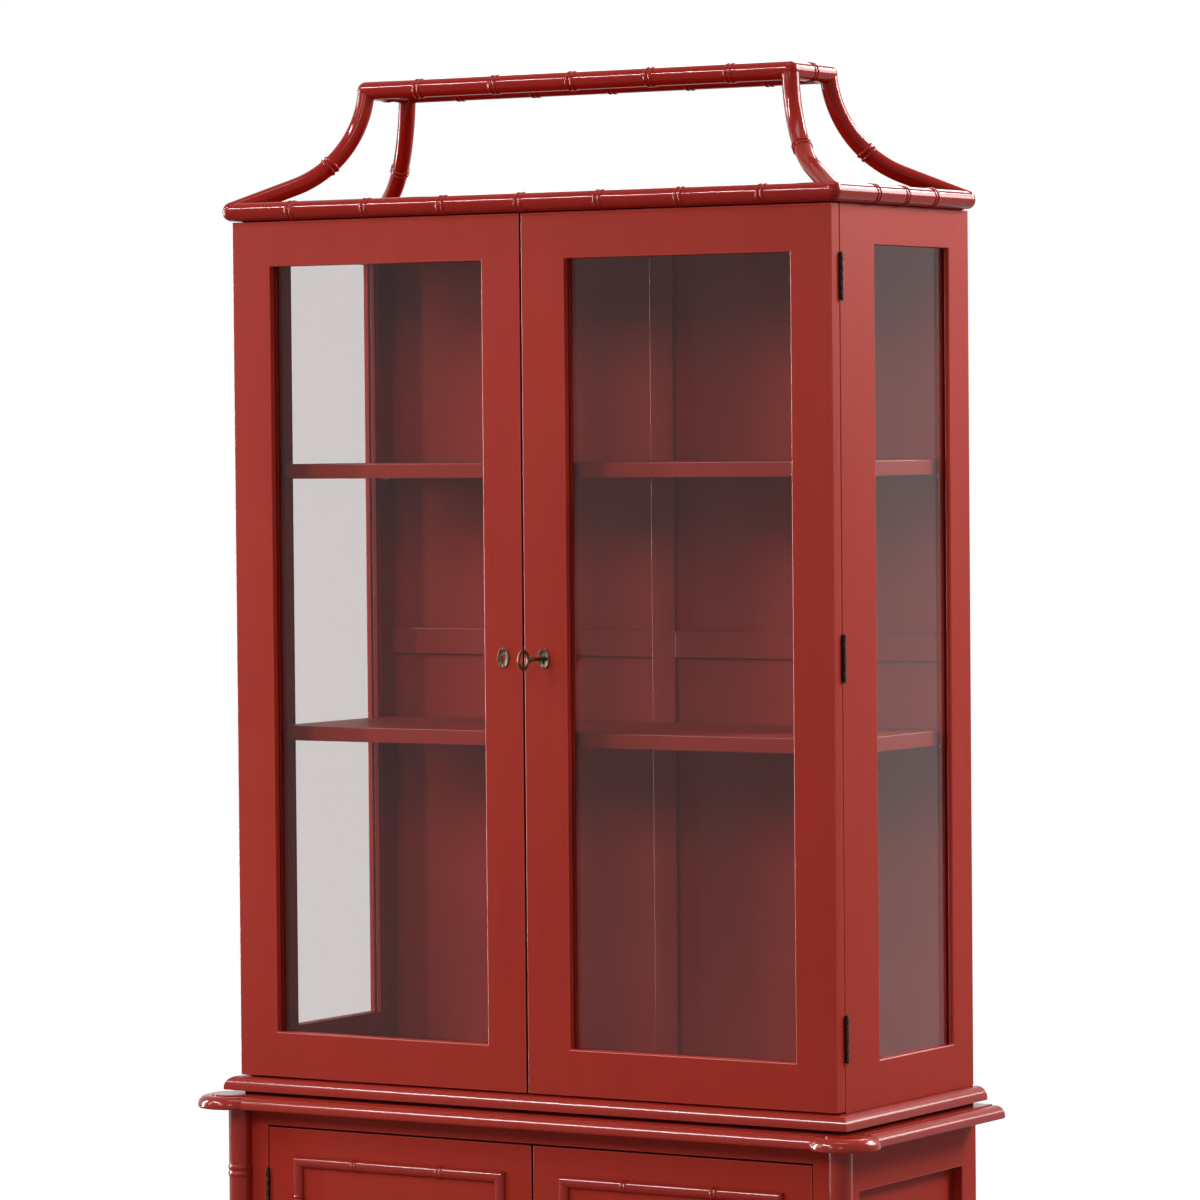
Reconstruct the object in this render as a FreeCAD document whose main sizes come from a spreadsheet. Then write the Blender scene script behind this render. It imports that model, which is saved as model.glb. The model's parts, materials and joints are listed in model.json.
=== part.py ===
"""A red lacquer display cabinet: a glazed hutch with a bamboo crown on a two-door base.

Millimetres, +Z up, the front faces -Y. The origin is on the floor, at the middle of the plan box.
"""
import FreeCAD, Part
import math
import os

from FreeCAD import Rotation, Vector

SIZES = [
    # Whole cabinet
    ("hutch_width", 970),
    ("hutch_depth", 383),
    ("base_overhang", 3),
    ("base_height", 840),
    ("base_setback", 5.8),
    ("leg_height", 110),
    # Hutch doors
    ("door_height", 1205.4),
    ("door_thickness", 21),
    ("door_gap", 2),
    ("door_stile", 63.5),
    ("left_meeting_stile", 63),
    ("right_meeting_stile", 68.8),
    ("meeting_shift", 2.9),
    ("door_rail", 63.5),
    ("door_lip", 12),
    ("rebate", 8),
    ("glass_thickness", 4),
    ("glass_clearance", 0.5),
    # Hutch case
    ("side_thickness", 19),
    ("side_front_stile", 94),
    ("side_rear_stile", 57),
    ("side_top_rail", 54),
    ("side_bottom_rail", 62.4),
    ("side_lip", 8),
    ("top_board", 19),
    ("back_panel", 6),
    ("back_recess", 11),
    ("back_rebate", 9),
    ("back_strip_thickness", 8),
    ("back_strip_width", 38),
    ("back_rail_height", 584),
    # Shelves
    ("shelf_thickness", 21),
    ("shelf_setback", 75),
    ("shelf_clearance", 0.5),
    ("lower_shelf_height", 492),
    ("upper_shelf_height", 864),
    ("base_shelf_height", 470),
    ("cleat_height", 30),
    ("cleat_thickness", 16),
    ("pin_radius", 2.5),
    ("pin_reach", 10),
    ("pin_hole_clearance", 0.1),
    ("front_pin_inset", 25),
    ("rear_pin_inset", 20),
    # Foot moulding of the hutch
    ("foot_gap", 5.4),
    ("moulding_height", 18.9),
    ("moulding_width", 21.3),
    ("moulding_foot", 3.4),
    ("moulding_front", 13.6),
    ("door_foot_clearance", 2.4),
    # Bamboo crown
    ("crown_gap", 1.5),
    ("rod_diameter", 25.4),
    ("crown_front", 3.9),
    ("crown_side", 1.5),
    ("crown_shift", 3.5),
    ("leg_diameter", 24.4),
    ("crown_rise", 171.7),
    ("crown_step", 140.5),
    ("crown_top_depth", 104),
    ("leg_foot_rise", 2),
    ("leg_foot_angle", 20.3),
    ("leg_node_angle", 41.5),
    ("leg_top_angle", 85),
    ("leg_ridge_height", 1.8),
    ("ridge_height", 1.3),
    ("ridge_width", 5.4),
    ("ridge_gap", 2),
    ("rail_node_pitch", 127),
    ("side_node_pitch", 80.5),
    # Base top
    ("slab_thickness", 19),
    ("slab_overhang", 45.5),
    ("slab_front", 36),
    ("slab_edge_flat", 0.6),
    ("slab_under_round", 3),
    ("slab_step", 1.4),
    ("slab_step_inset", 20),
    ("ear_radius", 48.5),
    ("ear_out", 9.6),
    ("ear_front", 4.9),
    # Base carcass
    ("post_radius", 16.3),
    ("post_front", 5),
    ("post_node_drop", 90.4),
    ("post_node_pitch", 200),
    ("post_ridge_width", 7.4),
    ("face_thickness", 19),
    ("face_stile", 44.7),
    ("face_top_rail", 24.2),
    ("face_bottom_rail", 45),
    ("base_side_thickness", 22),
    ("base_side_lip", 15.5),
    ("base_side_front_stile", 27.6),
    ("base_side_rear_stile", 41),
    ("base_side_top_rail", 64),
    ("base_side_bottom_rail", 60),
    ("base_panel", 6),
    ("bottom_board", 19),
    # Base doors
    ("base_door_thickness", 20),
    ("base_door_gap", 2),
    ("trim_width", 16.5),
    ("trim_side_inset", 44),
    ("trim_end_inset", 40),
    ("trim_ridge_height", 1.2),
    ("trim_ridge_width", 4),
    ("trim_ridge_gap", 1.6),
    ("trim_node_spread", 71),
    ("trim_node_inset", 60),
    # Hinges
    ("hinge_length", 63.5),
    ("hinge_inset", 65),
    ("base_hinge_inset", 59),
    ("leaf_thickness", 0.8),
    ("leaf_width", 16),
    ("knuckle_radius", 3),
    ("knuckle_offset", 3.2),
    ("knuckle_gap", 0.3),
    ("hinge_pin_radius", 1.3),
    ("hinge_pin_fit", 0.05),
    ("hinge_pin_tip", 1.5),
    # Locks and keys
    ("left_keyhole_inset", 35.5),
    ("right_keyhole_inset", 30),
    ("keyhole_height", 597),
    ("plate_height", 28),
    ("plate_width", 19.5),
    ("plate_thickness", 1.5),
    ("keyhole_slot", 2.6),
    ("keyhole_drop", 7),
    ("lock_edge", 7),
    ("lock_width", 40),
    ("lock_depth", 9),
    ("lock_wall", 1.2),
    ("bolt_length", 30),
    ("bolt_height", 8),
    ("bolt_thickness", 4),
    ("bolt_throw", 7),
    ("bolt_clearance", 0.5),
    ("key_radius", 2.5),
    ("key_clearance", 0.4),
    ("key_reach", 52),
    ("bow_radius", 12),
    ("bow_wire", 2.4),
    ("collar_radius", 4),
    ("collar_length", 5),
    ("bit_reach", 6),
    ("bit_length", 4),
    ("bit_thickness", 2),
]
DOOR_HINGES = 3
BASE_DOOR_HINGES = 2
KNUCKLES = 5
FRONT_NODES = 7
SIDE_NODES = 3
TOP_NODES = 5
POST_NODES = 4
TRIM_SIDE_NODES = 4
SIDES = (("left", -1), ("right", 1))
SAME = 1e-4

doc = FreeCAD.newDocument("display_cabinet")
sheet = doc.addObject("Spreadsheet::Sheet", "sizes")
nodes = {}


class Dim:
    """A size worked out from the sheet: its expression, and its value in millimetres."""

    def __init__(self, text, value):
        self.text = text
        self.value = value

    def __add__(self, other):
        other = as_dim(other)
        return Dim(f"({self.text} + {other.text})", self.value + other.value)

    def __sub__(self, other):
        other = as_dim(other)
        return Dim(f"({self.text} - {other.text})", self.value - other.value)

    def __mul__(self, factor):
        factor = as_dim(factor)
        return Dim(f"({self.text} * {factor.text})", self.value * factor.value)

    def __truediv__(self, factor):
        factor = as_dim(factor)
        return Dim(f"({self.text} / {factor.text})", self.value / factor.value)

    def __neg__(self):
        return as_dim(0) - self

    __rmul__ = __mul__


def as_dim(size):
    """Take a plain number as a size of its own."""
    return size if isinstance(size, Dim) else Dim(f"({size})", size)


class Sizes:
    """The driving dimensions by name."""


size = Sizes()
for row, (alias, millimetres) in enumerate(SIZES, start=1):
    sheet.set(f"A{row}", alias)
    sheet.set(f"B{row}", str(millimetres))
    sheet.setAlias(f"B{row}", alias)
    setattr(size, alias, Dim(f"sizes.{alias}", millimetres))
doc.recompute()


def bind(piece, name, value):
    """Tie one property of a piece to the sheet."""
    piece.setExpression(name, as_dim(value).text)


def place(piece, spot):
    """Tie a piece's place to the sheet."""
    for axis, value in zip("xyz", spot):
        bind(piece, f"Placement.Base.{axis}", value)


def block(name, corner, opposite):
    """Add a block between two opposite corners, given in any order."""
    piece = doc.addObject("Part::Box", name)
    spot = []
    for side, one, two in zip(("Length", "Width", "Height"), corner, opposite):
        low, high = sorted((as_dim(one), as_dim(two)), key=lambda end: end.value)
        bind(piece, side, high - low)
        spot.append(low)
    place(piece, spot)
    return piece


def pin(name, radius, start, length, axis):
    """Add a round pin from start along an axis."""
    piece = doc.addObject("Part::Cylinder", name)
    bind(piece, "Radius", radius)
    bind(piece, "Height", length)
    piece.Placement.Rotation = Rotation(Vector(0, 0, 1), axis)
    place(piece, start)
    return piece


def cut(name, base, *tools):
    """Cut tools away from a base."""
    for tool in tools:
        piece = doc.addObject("Part::Cut", name)
        piece.Base = base
        piece.Tool = tool
        base = piece
    return base


def fuse(name, pieces):
    """Join pieces into one solid."""
    piece = doc.addObject("Part::MultiFuse", name)
    piece.Shapes = pieces
    return piece


def round_edges(name, base, picks):
    """Round the edges that each test picks by their end points."""
    base.recompute()
    edges = []
    for test, radius in picks:
        for index, edge in enumerate(base.Shape.Edges, start=1):
            if test([end.Point for end in edge.Vertexes]):
                edges.append((index, radius.value, radius.value))
    piece = doc.addObject("Part::Fillet", name)
    piece.Base = base
    piece.Edges = edges
    return piece


def edges_at(level, rear=None):
    """A test that picks the edges at one level, but not along a square rear edge."""

    def test(ends):
        on_level = all(abs(end.z - level.value) < SAME for end in ends)
        on_rear = rear is not None and all(abs(end.y - rear.value) < SAME for end in ends)
        return on_level and not on_rear

    return test


def solid(name, shape):
    """Add a piece whose form no primitive gives."""
    piece = doc.addObject("Part::Feature", name)
    piece.Shape = shape
    return piece


def node(label, *pieces):
    """Name a sub-part, which may be a group of separate solids."""
    piece = pieces[0]
    if len(pieces) > 1:
        piece = doc.addObject("Part::Compound", label)
        piece.Links = list(pieces)
    piece.Label = label
    nodes[label] = piece
    return piece


# Planes and levels that several pieces share
half = size.hutch_width / 2
front_reach = size.key_reach + size.bow_radius + size.bow_wire
back = (size.hutch_depth + front_reach) / 2
face = back - size.hutch_depth
door_back = face + size.door_thickness
case_front = door_back + size.leaf_thickness * 2
inner_half = half - size.side_thickness
panel_front = back - size.back_recess
strip_front = panel_front - size.back_strip_thickness

slab_low = size.base_height - size.slab_thickness
moulding_low = size.base_height + size.foot_gap
case_low = moulding_low + size.moulding_height
door_low = case_low + size.door_foot_clearance
door_high = door_low + size.door_height
case_high = door_high + size.crown_gap
rod_radius = size.rod_diameter / 2
crown_level = case_high + rod_radius
crown_top_level = crown_level + size.crown_rise

base_half = half + size.base_overhang
base_inner = base_half - size.base_side_thickness
base_face = face + size.base_setback
side_start = base_face + size.face_thickness
opening_half = base_half - size.face_stile
base_door_low = size.leg_height + size.face_bottom_rail + size.base_door_gap
base_door_high = slab_low - size.face_top_rail - size.base_door_gap
base_door_back = base_face + size.base_door_thickness
base_door_outer = opening_half - size.leaf_thickness * 2


class Frame:
    """A frame round one opening: two stiles and two rails, rebated behind a lip.

    spot turns (along the frame, depth from its outer face, height) into a point of the cabinet.
    """

    def __init__(self, name, spot, along, height, stiles, rails, thickness, lip):
        self.name = name
        self.spot = spot
        self.thickness = thickness
        self.lip = lip
        self.open_along = (along[0] + stiles[0], along[1] - stiles[1])
        self.open_height = (height[0] + rails[0], height[1] - rails[1])
        seat = block(f"{name}_rebate", *self.around(size.rebate, lip, thickness))
        self.members = {
            "stile_low": self.member(along[0], self.open_along[0], *height),
            "stile_high": self.member(self.open_along[1], along[1], *height),
            "rail_low": self.member(*self.open_along, height[0], self.open_height[0]),
            "rail_high": self.member(*self.open_along, self.open_height[1], height[1]),
        }
        for role, member in self.members.items():
            self.members[role] = cut(f"{name}_{role}", member, seat)

    def member(self, along_low, along_high, low, high):
        """One straight length of the frame."""
        corner = self.spot(along_low, 0, low)
        opposite = self.spot(along_high, self.thickness, high)
        return block(f"{self.name}_length", corner, opposite)

    def around(self, margin, depth_low, depth_high):
        """Opposite corners of the opening grown by a margin, between two depths."""
        low = self.spot(self.open_along[0] - margin, depth_low, self.open_height[0] - margin)
        high = self.spot(self.open_along[1] + margin, depth_high, self.open_height[1] + margin)
        return low, high

    def trim(self, role, *tools):
        """Cut something out of one member."""
        self.members[role] = cut(f"{self.name}_{role}_cut", self.members[role], *tools)

    def add(self):
        """Hand the members in as one node."""
        return node(self.name, *self.members.values())

    def pane(self, label, thickness):
        """A sheet of glass or wood in the rebate, against the lip."""
        margin = size.rebate - size.glass_clearance
        return block(label, *self.around(margin, self.lip, self.lip + thickness))

    def beads(self, label):
        """Four strips that hold the pane in its rebate, flush with the frame's inner face."""
        low, high = self.lip + size.glass_thickness, self.thickness
        reach = size.rebate
        (start, end), (foot, head) = self.open_along, self.open_height
        strips = [
            (start - reach, start, foot - reach, head + reach),
            (end, end + reach, foot - reach, head + reach),
            (start, end, foot - reach, foot),
            (start, end, head, head + reach),
        ]
        return [
            block(label, self.spot(one, low, bottom), self.spot(two, high, top))
            for one, two, bottom, top in strips
        ]


def bamboo(radius, length, places, ridge, half_round=False, ball_ends=False):
    """A rod along +X from the origin, with a double ridge at each of the places along it.

    A half-round rod has its flat back on Z = 0. Ball ends reach past the length by the radius.
    """
    height, width, gap = ridge
    at = Vector(0, 0, radius)
    corner = Vector(length, 0, radius)
    if ball_ends:
        slant = radius * math.sqrt(0.5)
        axis_start, axis_end = Vector(-radius, 0, 0), Vector(length + radius, 0, 0)
        first_end = Part.Arc(axis_start, Vector(-slant, 0, slant), at)
        last_end = Part.Arc(corner, Vector(length + slant, 0, slant), axis_end)
    else:
        axis_start, axis_end = Vector(0, 0, 0), Vector(length, 0, 0)
        first_end = Part.LineSegment(axis_start, at)
        last_end = Part.LineSegment(corner, axis_end)
    outline = [first_end.toShape()]
    for spot in places:
        for start in (spot - gap / 2 - width, spot + gap / 2):
            foot = Vector(start, 0, radius)
            crest = Vector(start + width / 2, 0, radius + height)
            end = Vector(start + width, 0, radius)
            outline.append(Part.LineSegment(at, foot).toShape())
            outline.append(Part.Arc(foot, crest, end).toShape())
            at = end
    outline.append(Part.LineSegment(at, corner).toShape())
    outline.append(last_end.toShape())
    outline.append(Part.LineSegment(axis_end, axis_start).toShape())
    profile = Part.Face(Part.Wire(outline))
    along = Vector(1, 0, 0)
    profile.rotate(Vector(0, 0, 0), along, -90)
    return profile.revolve(Vector(0, 0, 0), along, 180 if half_round else 360)


def spread(count, pitch):
    """Places of a row about its middle."""
    return [(index - (count - 1) / 2) * pitch for index in range(count)]


def prism(points, low, high):
    """A plan outline raised between two levels."""
    corners = [Vector(x, y, low) for x, y in points]
    return Part.Face(Part.makePolygon(corners + corners[:1])).extrude(Vector(0, 0, high - low))


def mitred_rail(half_length, radius, places, ridge, half_round=False):
    """A bamboo rail along X, centred, mitred at 45 degrees, its long side towards -Y.

    A half-round rail runs out to the points of its mitres. A whole one ends in half a ball.
    """
    reach = radius * 2
    start = half_length + reach
    run = start if half_round else half_length
    rod = bamboo(radius, 2 * run, [run + spot for spot in places], ridge, half_round, not half_round)
    rod.translate(Vector(-run, 0, 0))
    outline = [
        (-start, -reach),
        (start, -reach),
        (half_length - reach, reach),
        (reach - half_length, reach),
    ]
    return rod.common(prism(outline, -reach, reach))


def turned(shape, angle, spot):
    """A shape turned about +Z and moved to a spot."""
    shape.rotate(Vector(0, 0, 0), Vector(0, 0, 1), angle)
    shape.translate(Vector(*spot))
    return shape


def moulding_length(outer_run, inner_run, angle, spot):
    """One length of the foot moulding, its outer face on local Y = 0 and its top edge rounded."""
    strip = doc.addObject("Part::Wedge", "moulding_length")
    bind(strip, "Xmin", outer_run[0])
    bind(strip, "Xmax", outer_run[1])
    bind(strip, "X2min", inner_run[0])
    bind(strip, "X2max", inner_run[1])
    bind(strip, "Ymin", 0)
    bind(strip, "Ymax", size.moulding_width)
    for low, high in (("Zmin", "Zmax"), ("Z2min", "Z2max")):
        bind(strip, low, 0)
        bind(strip, high, size.moulding_height)
    on_top = edges_at(size.moulding_height, size.moulding_width)
    crest_radius = size.moulding_height - size.moulding_foot
    picks = [(lambda ends: on_top(ends) and ends[0].y == ends[1].y, crest_radius)]
    crest = round_edges("moulding_crest", strip, picks)
    crest.Placement.Rotation = Rotation(Vector(0, 0, 1), angle)
    place(crest, spot)
    return crest


def add_hutch_foot():
    """Bottom board of the hutch and the mitred moulding round its front and sides."""
    front = face - size.moulding_front
    board_front = front + size.moulding_width
    board = block("bottom", (-half, board_front, size.base_height), (half, back, case_low))
    node("hutch_bottom_board", board)
    outer = half + size.moulding_width
    depth = back - front
    mitre = size.moulding_width
    node(
        "hutch_foot_moulding",
        moulding_length((-outer, outer), (-half, half), 0, (0, front, moulding_low)),
        moulding_length((-depth, as_dim(0)), (-depth, -mitre), -90, (-outer, front, moulding_low)),
        moulding_length((as_dim(0), depth), (mitre, depth), 90, (outer, front, moulding_low)),
    )


def side_spot(sign, outer):
    """Places on a side frame: along runs from front to back, depth runs inwards."""
    return lambda along, depth, height: ((outer - depth) * sign, along, height)


def front_spot(front):
    """Places on a front frame: along runs to the right, depth runs backwards."""
    return lambda along, depth, height: (along, front + depth, height)


def add_shelf(label, inner, front, rear, top):
    """A loose shelf between two sides, clear of the sides and the back."""
    reach = inner - size.shelf_clearance
    low = top - size.shelf_thickness
    node(label, block("shelf", (-reach, front, low), (reach, rear - size.shelf_clearance, top)))


def pin_holes(sign, inner, depth, levels):
    """Holes in one stile for the pins of its shelves."""
    radius = size.pin_radius + size.pin_hole_clearance
    return [
        pin("pin_hole", radius, (inner * sign, depth, level), size.pin_reach, Vector(sign, 0, 0))
        for level in levels
    ]


def back_groove(sign, inner, low, high):
    """The rebate at the back inner corner of a side, for the back panels."""
    return block(
        "back_rebate",
        (inner * sign, panel_front, low),
        ((inner + size.back_rebate) * sign, back, high),
    )


def add_hutch_case():
    """Sides with their glass, top board, back and shelves."""
    shelf_front = face + size.shelf_setback
    tops = [door_low + size.lower_shelf_height, door_low + size.upper_shelf_height]
    levels = [top - size.shelf_thickness - size.pin_radius for top in tops]
    front_pin = shelf_front + size.front_pin_inset
    rear_pin = strip_front - size.rear_pin_inset
    panes, beads, pins = [], [], []
    for name, sign in SIDES:
        frame = Frame(
            f"hutch_side_{name}",
            side_spot(sign, half),
            (case_front, back),
            (case_low, case_high),
            (size.side_front_stile, size.side_rear_stile),
            (size.side_bottom_rail, size.side_top_rail),
            size.side_thickness,
            size.side_lip,
        )
        frame.trim("stile_low", *pin_holes(sign, inner_half, front_pin, levels))
        frame.trim("stile_high", *pin_holes(sign, inner_half, rear_pin, levels))
        frame.trim("stile_high", back_groove(sign, inner_half, case_low, case_high))
        frame.add()
        for depth in (front_pin, rear_pin):
            for level in levels:
                start = ((inner_half - size.pin_reach) * sign, depth, level)
                length = size.pin_reach * 2
                pins.append(pin("shelf_pin", size.pin_radius, start, length, Vector(sign, 0, 0)))
        panes.append(frame.pane("side_pane", size.glass_thickness))
        beads += frame.beads("side_bead")
    node("hutch_side_glass", *panes)
    node("hutch_side_beads", *beads)
    top_low = case_high - size.top_board
    board = block("top", (-inner_half, case_front, top_low), (inner_half, panel_front, case_high))
    node("hutch_top_board", board)
    add_hutch_back(top_low)
    node("shelf_pins", *pins)
    add_shelf("hutch_shelf_lower", inner_half, shelf_front, strip_front, tops[0])
    add_shelf("hutch_shelf_upper", inner_half, shelf_front, strip_front, tops[1])


def add_hutch_back(top_low):
    """Four back panels in the sides' rebates, and the strips that cover their joints."""
    panel_half = inner_half + size.back_rebate
    rail_low = door_low + size.back_rail_height
    rail_high = rail_low + size.back_strip_width
    joint = rail_low + size.back_strip_width / 2
    panels = []
    for sign in (-1, 1):
        for low, high in ((case_low, joint), (joint, case_high)):
            opposite = (panel_half * sign, panel_front + size.back_panel, high)
            panels.append(block("back_panel", (0, panel_front, low), opposite))
    node("hutch_back_panels", *panels)
    edge = size.back_strip_width / 2
    mullion = block("mullion", (-edge, strip_front, case_low), (edge, panel_front, top_low))
    rails = [
        block(
            "back_rail",
            (edge * sign, strip_front, rail_low),
            (inner_half * sign, panel_front, rail_high),
        )
        for sign in (-1, 1)
    ]
    node("hutch_back_strips", mullion, *rails)


def cane_ridge(width):
    """Height, width and gap of the ridges on a rail or a post."""
    return size.ridge_height.value, width.value, size.ridge_gap.value


def add_crown():
    """Cap board, the ring of rods round its edge, four bent legs and the ring that they carry."""
    front = face - size.crown_front
    rear = back - rod_radius - size.ridge_height
    side = half + size.crown_side
    middle = (front + rear) / 2
    half_depth = (rear - front) / 2
    shift = size.crown_shift
    cap_corners = (shift - side, front, case_high), (shift + side, rear, crown_level)
    node("crown_cap_board", block("cap", *cap_corners))
    ring = crown_ring("crown", side, half_depth, middle, crown_level, FRONT_NODES, SIDE_NODES)
    for rail in ring.values():
        rail.Shape = rail.Shape.cut(crown_seat(side.value, front.value, 2 * half_depth.value))
    top_side = side - size.crown_step
    top_depth = size.crown_top_depth / 2
    top = crown_ring("crown_top", top_side, top_depth, middle, crown_top_level, TOP_NODES, 1)
    foot = Vector(side.value, half_depth.value, 0)
    head = Vector(top_side.value, top_depth.value, size.crown_rise.value)
    leg = crown_leg(foot, head)
    for depth_name, depth_sign in (("front", -1), ("rear", 1)):
        for name, sign in SIDES:
            shape = leg.copy()
            if sign < 0:
                shape = shape.mirror(Vector(0, 0, 0), Vector(1, 0, 0))
            if depth_sign < 0:
                shape = shape.mirror(Vector(0, 0, 0), Vector(0, 1, 0))
            shape.translate(Vector(shift.value, middle.value, crown_level.value))
            node(f"crown_leg_{depth_name}_{name}", solid("leg", shape))
    node("crown_front_rail", ring["front"])
    node("crown_rear_rail", ring["rear"])
    node("crown_side_rails", ring["left"], ring["right"])
    node("crown_top_long_rails", top["front"], top["rear"])
    node("crown_top_end_rails", top["left"], top["right"])


def crown_seat(side, front, depth):
    """What the lower ring loses: the cap board's edge, and all that would reach below the board."""
    corner = Vector(size.crown_shift.value - side, front, case_high.value)
    board = Part.makeBox(2 * side, depth, rod_radius.value, corner)
    margin = size.rod_diameter.value
    under_corner = corner - Vector(margin, margin, margin)
    under = Part.makeBox(2 * (side + margin), depth + 2 * margin, margin, under_corner)
    return [board, under]


def crown_ring(name, side, half_depth, middle, level, long_nodes, short_nodes):
    """Four mitred bamboo rods round a rectangle."""
    pitch = size.rail_node_pitch.value
    long_places = spread(long_nodes, pitch)
    short_places = spread(short_nodes, size.side_node_pitch.value)
    shift = size.crown_shift
    rails = {}
    for role, angle, length, places, spot in (
        ("front", 0, side, long_places, (shift, middle - half_depth)),
        ("right", 90, half_depth, short_places, (shift + side, middle)),
        ("rear", 180, side, long_places, (shift, middle + half_depth)),
        ("left", 270, half_depth, short_places, (shift - side, middle)),
    ):
        shape = mitred_rail(length.value, rod_radius.value, places, cane_ridge(size.ridge_width))
        x, y = (as_dim(part).value for part in spot)
        rails[role] = solid(f"{name}_{role}", turned(shape, angle, (x, y, level.value)))
    return rails


def crown_leg(foot, head):
    """A rod that rises from a ring corner, then bends up to the corner of the ring above.

    Its rounded foot stands a little higher than the ring that it is coped over.
    """
    up = Vector(0, 0, 1)
    start = foot + up * size.leg_foot_rise.value
    plan = Vector(head.x - start.x, head.y - start.y, 0)
    run, rise = plan.Length, head.z - start.z
    inwards = plan.normalize()
    slopes = (size.leg_foot_angle, size.leg_node_angle, size.leg_top_angle)
    low, at_node, high = (math.radians(slope.value) for slope in slopes)

    def way(slope):
        """The leg's direction where it has a slope."""
        return inwards * math.cos(slope) + up * math.sin(slope)

    low_length = (run * math.sin(high) - rise * math.cos(high)) / math.sin(high - low)
    elbow = start + way(low) * low_length
    tangent = (head - elbow).Length
    bend_start = elbow - way(low) * tangent
    bend_radius = tangent / math.tan((high - low) / 2)
    centre = head + (up * math.cos(high) - inwards * math.sin(high)) * bend_radius

    def on_bend(slope):
        """The point of the bend where the leg has a slope."""
        return centre + (inwards * math.sin(slope) - up * math.cos(slope)) * bend_radius

    path = Part.Wire([
        Part.LineSegment(start, bend_start).toShape(),
        Part.Arc(bend_start, on_bend((low + high) / 2), head).toShape(),
    ])
    radius = size.leg_diameter.value / 2
    section = Part.Wire(Part.makeCircle(radius, start, way(low)))
    rod = path.makePipeShell([section], True, False)
    ridge = size.leg_ridge_height.value
    axis = way(at_node)
    offset = axis * ((size.ridge_gap + size.ridge_width).value / 2)
    ridges = [
        Part.makeTorus(radius, ridge, on_bend(at_node) + step, axis) for step in (-offset, offset)
    ]
    rounded_foot = Part.makeSphere(radius, start)
    return rod.fuse([rounded_foot] + ridges).cut(leg_copes(foot, head))


def leg_copes(foot, head):
    """What a leg loses at its ends: the rods that it meets, and the cap board under its foot."""
    radius = rod_radius.value
    rods = []
    for corner in (foot, head):
        rods.append(Part.makeSphere(radius, corner))
        for way in (Vector(-1, 0, 0), Vector(0, -1, 0)):
            rods.append(Part.makeCylinder(radius, corner.Length, corner, way))
    board = Part.makeBox(foot.x, foot.y, radius, Vector(0, 0, foot.z - radius))
    return rods + [board]


def add_base_top():
    """The base's top: a slab with a stepped round edge and a disc at each front corner."""
    slab_half = base_half + size.slab_overhang
    front = face - size.slab_front
    step_low = size.base_height - size.slab_step
    inset = size.slab_step_inset
    under_round = size.slab_under_round
    edge_round = size.slab_thickness - size.slab_step - under_round - size.slab_edge_flat
    slab = block("slab", (-slab_half, front, slab_low), (slab_half, back, step_low))
    rounds = [(edges_at(step_low, back), edge_round), (edges_at(slab_low, back), under_round)]
    step_corner = (inset - slab_half, front + inset, step_low)
    step = block("slab_step", step_corner, (slab_half - inset, back, size.base_height))
    pieces = [round_edges("slab_round", slab, rounds), step]
    up = Vector(0, 0, 1)
    for name, sign in SIDES:
        x, y = (base_half + size.ear_out) * sign, face - size.ear_front
        ear = pin("ear", size.ear_radius, (x, y, slab_low), size.slab_thickness - size.slab_step, up)
        pieces.append(round_edges("ear_round", ear, rounds))
        pieces.append(pin("ear_step", size.ear_radius - inset, (x, y, step_low), size.slab_step, up))
    node("base_top", fuse("base_top_joined", pieces))


def add_posts():
    """Bamboo columns over the front corners of the base, which end as its front feet."""
    height = slab_low.value
    first = height - size.post_node_drop.value
    places = sorted(first - index * size.post_node_pitch.value for index in range(POST_NODES))
    posts = []
    for name, sign in SIDES:
        column = bamboo(size.post_radius.value, height, places, cane_ridge(size.post_ridge_width))
        column.rotate(Vector(0, 0, 0), Vector(0, 1, 0), -90)
        column.translate(Vector(base_half.value * sign, (base_face - size.post_front).value, 0))
        post = solid("column", column)
        reach = size.post_radius * 2
        corner = (base_half * sign, base_face, size.leg_height)
        notch = block("notch", corner, ((base_half - reach) * sign, base_face + reach, slab_low))
        posts.append(cut("post", post, notch))
    node("base_post_left", posts[0])
    node("base_post_right", posts[1])


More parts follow.
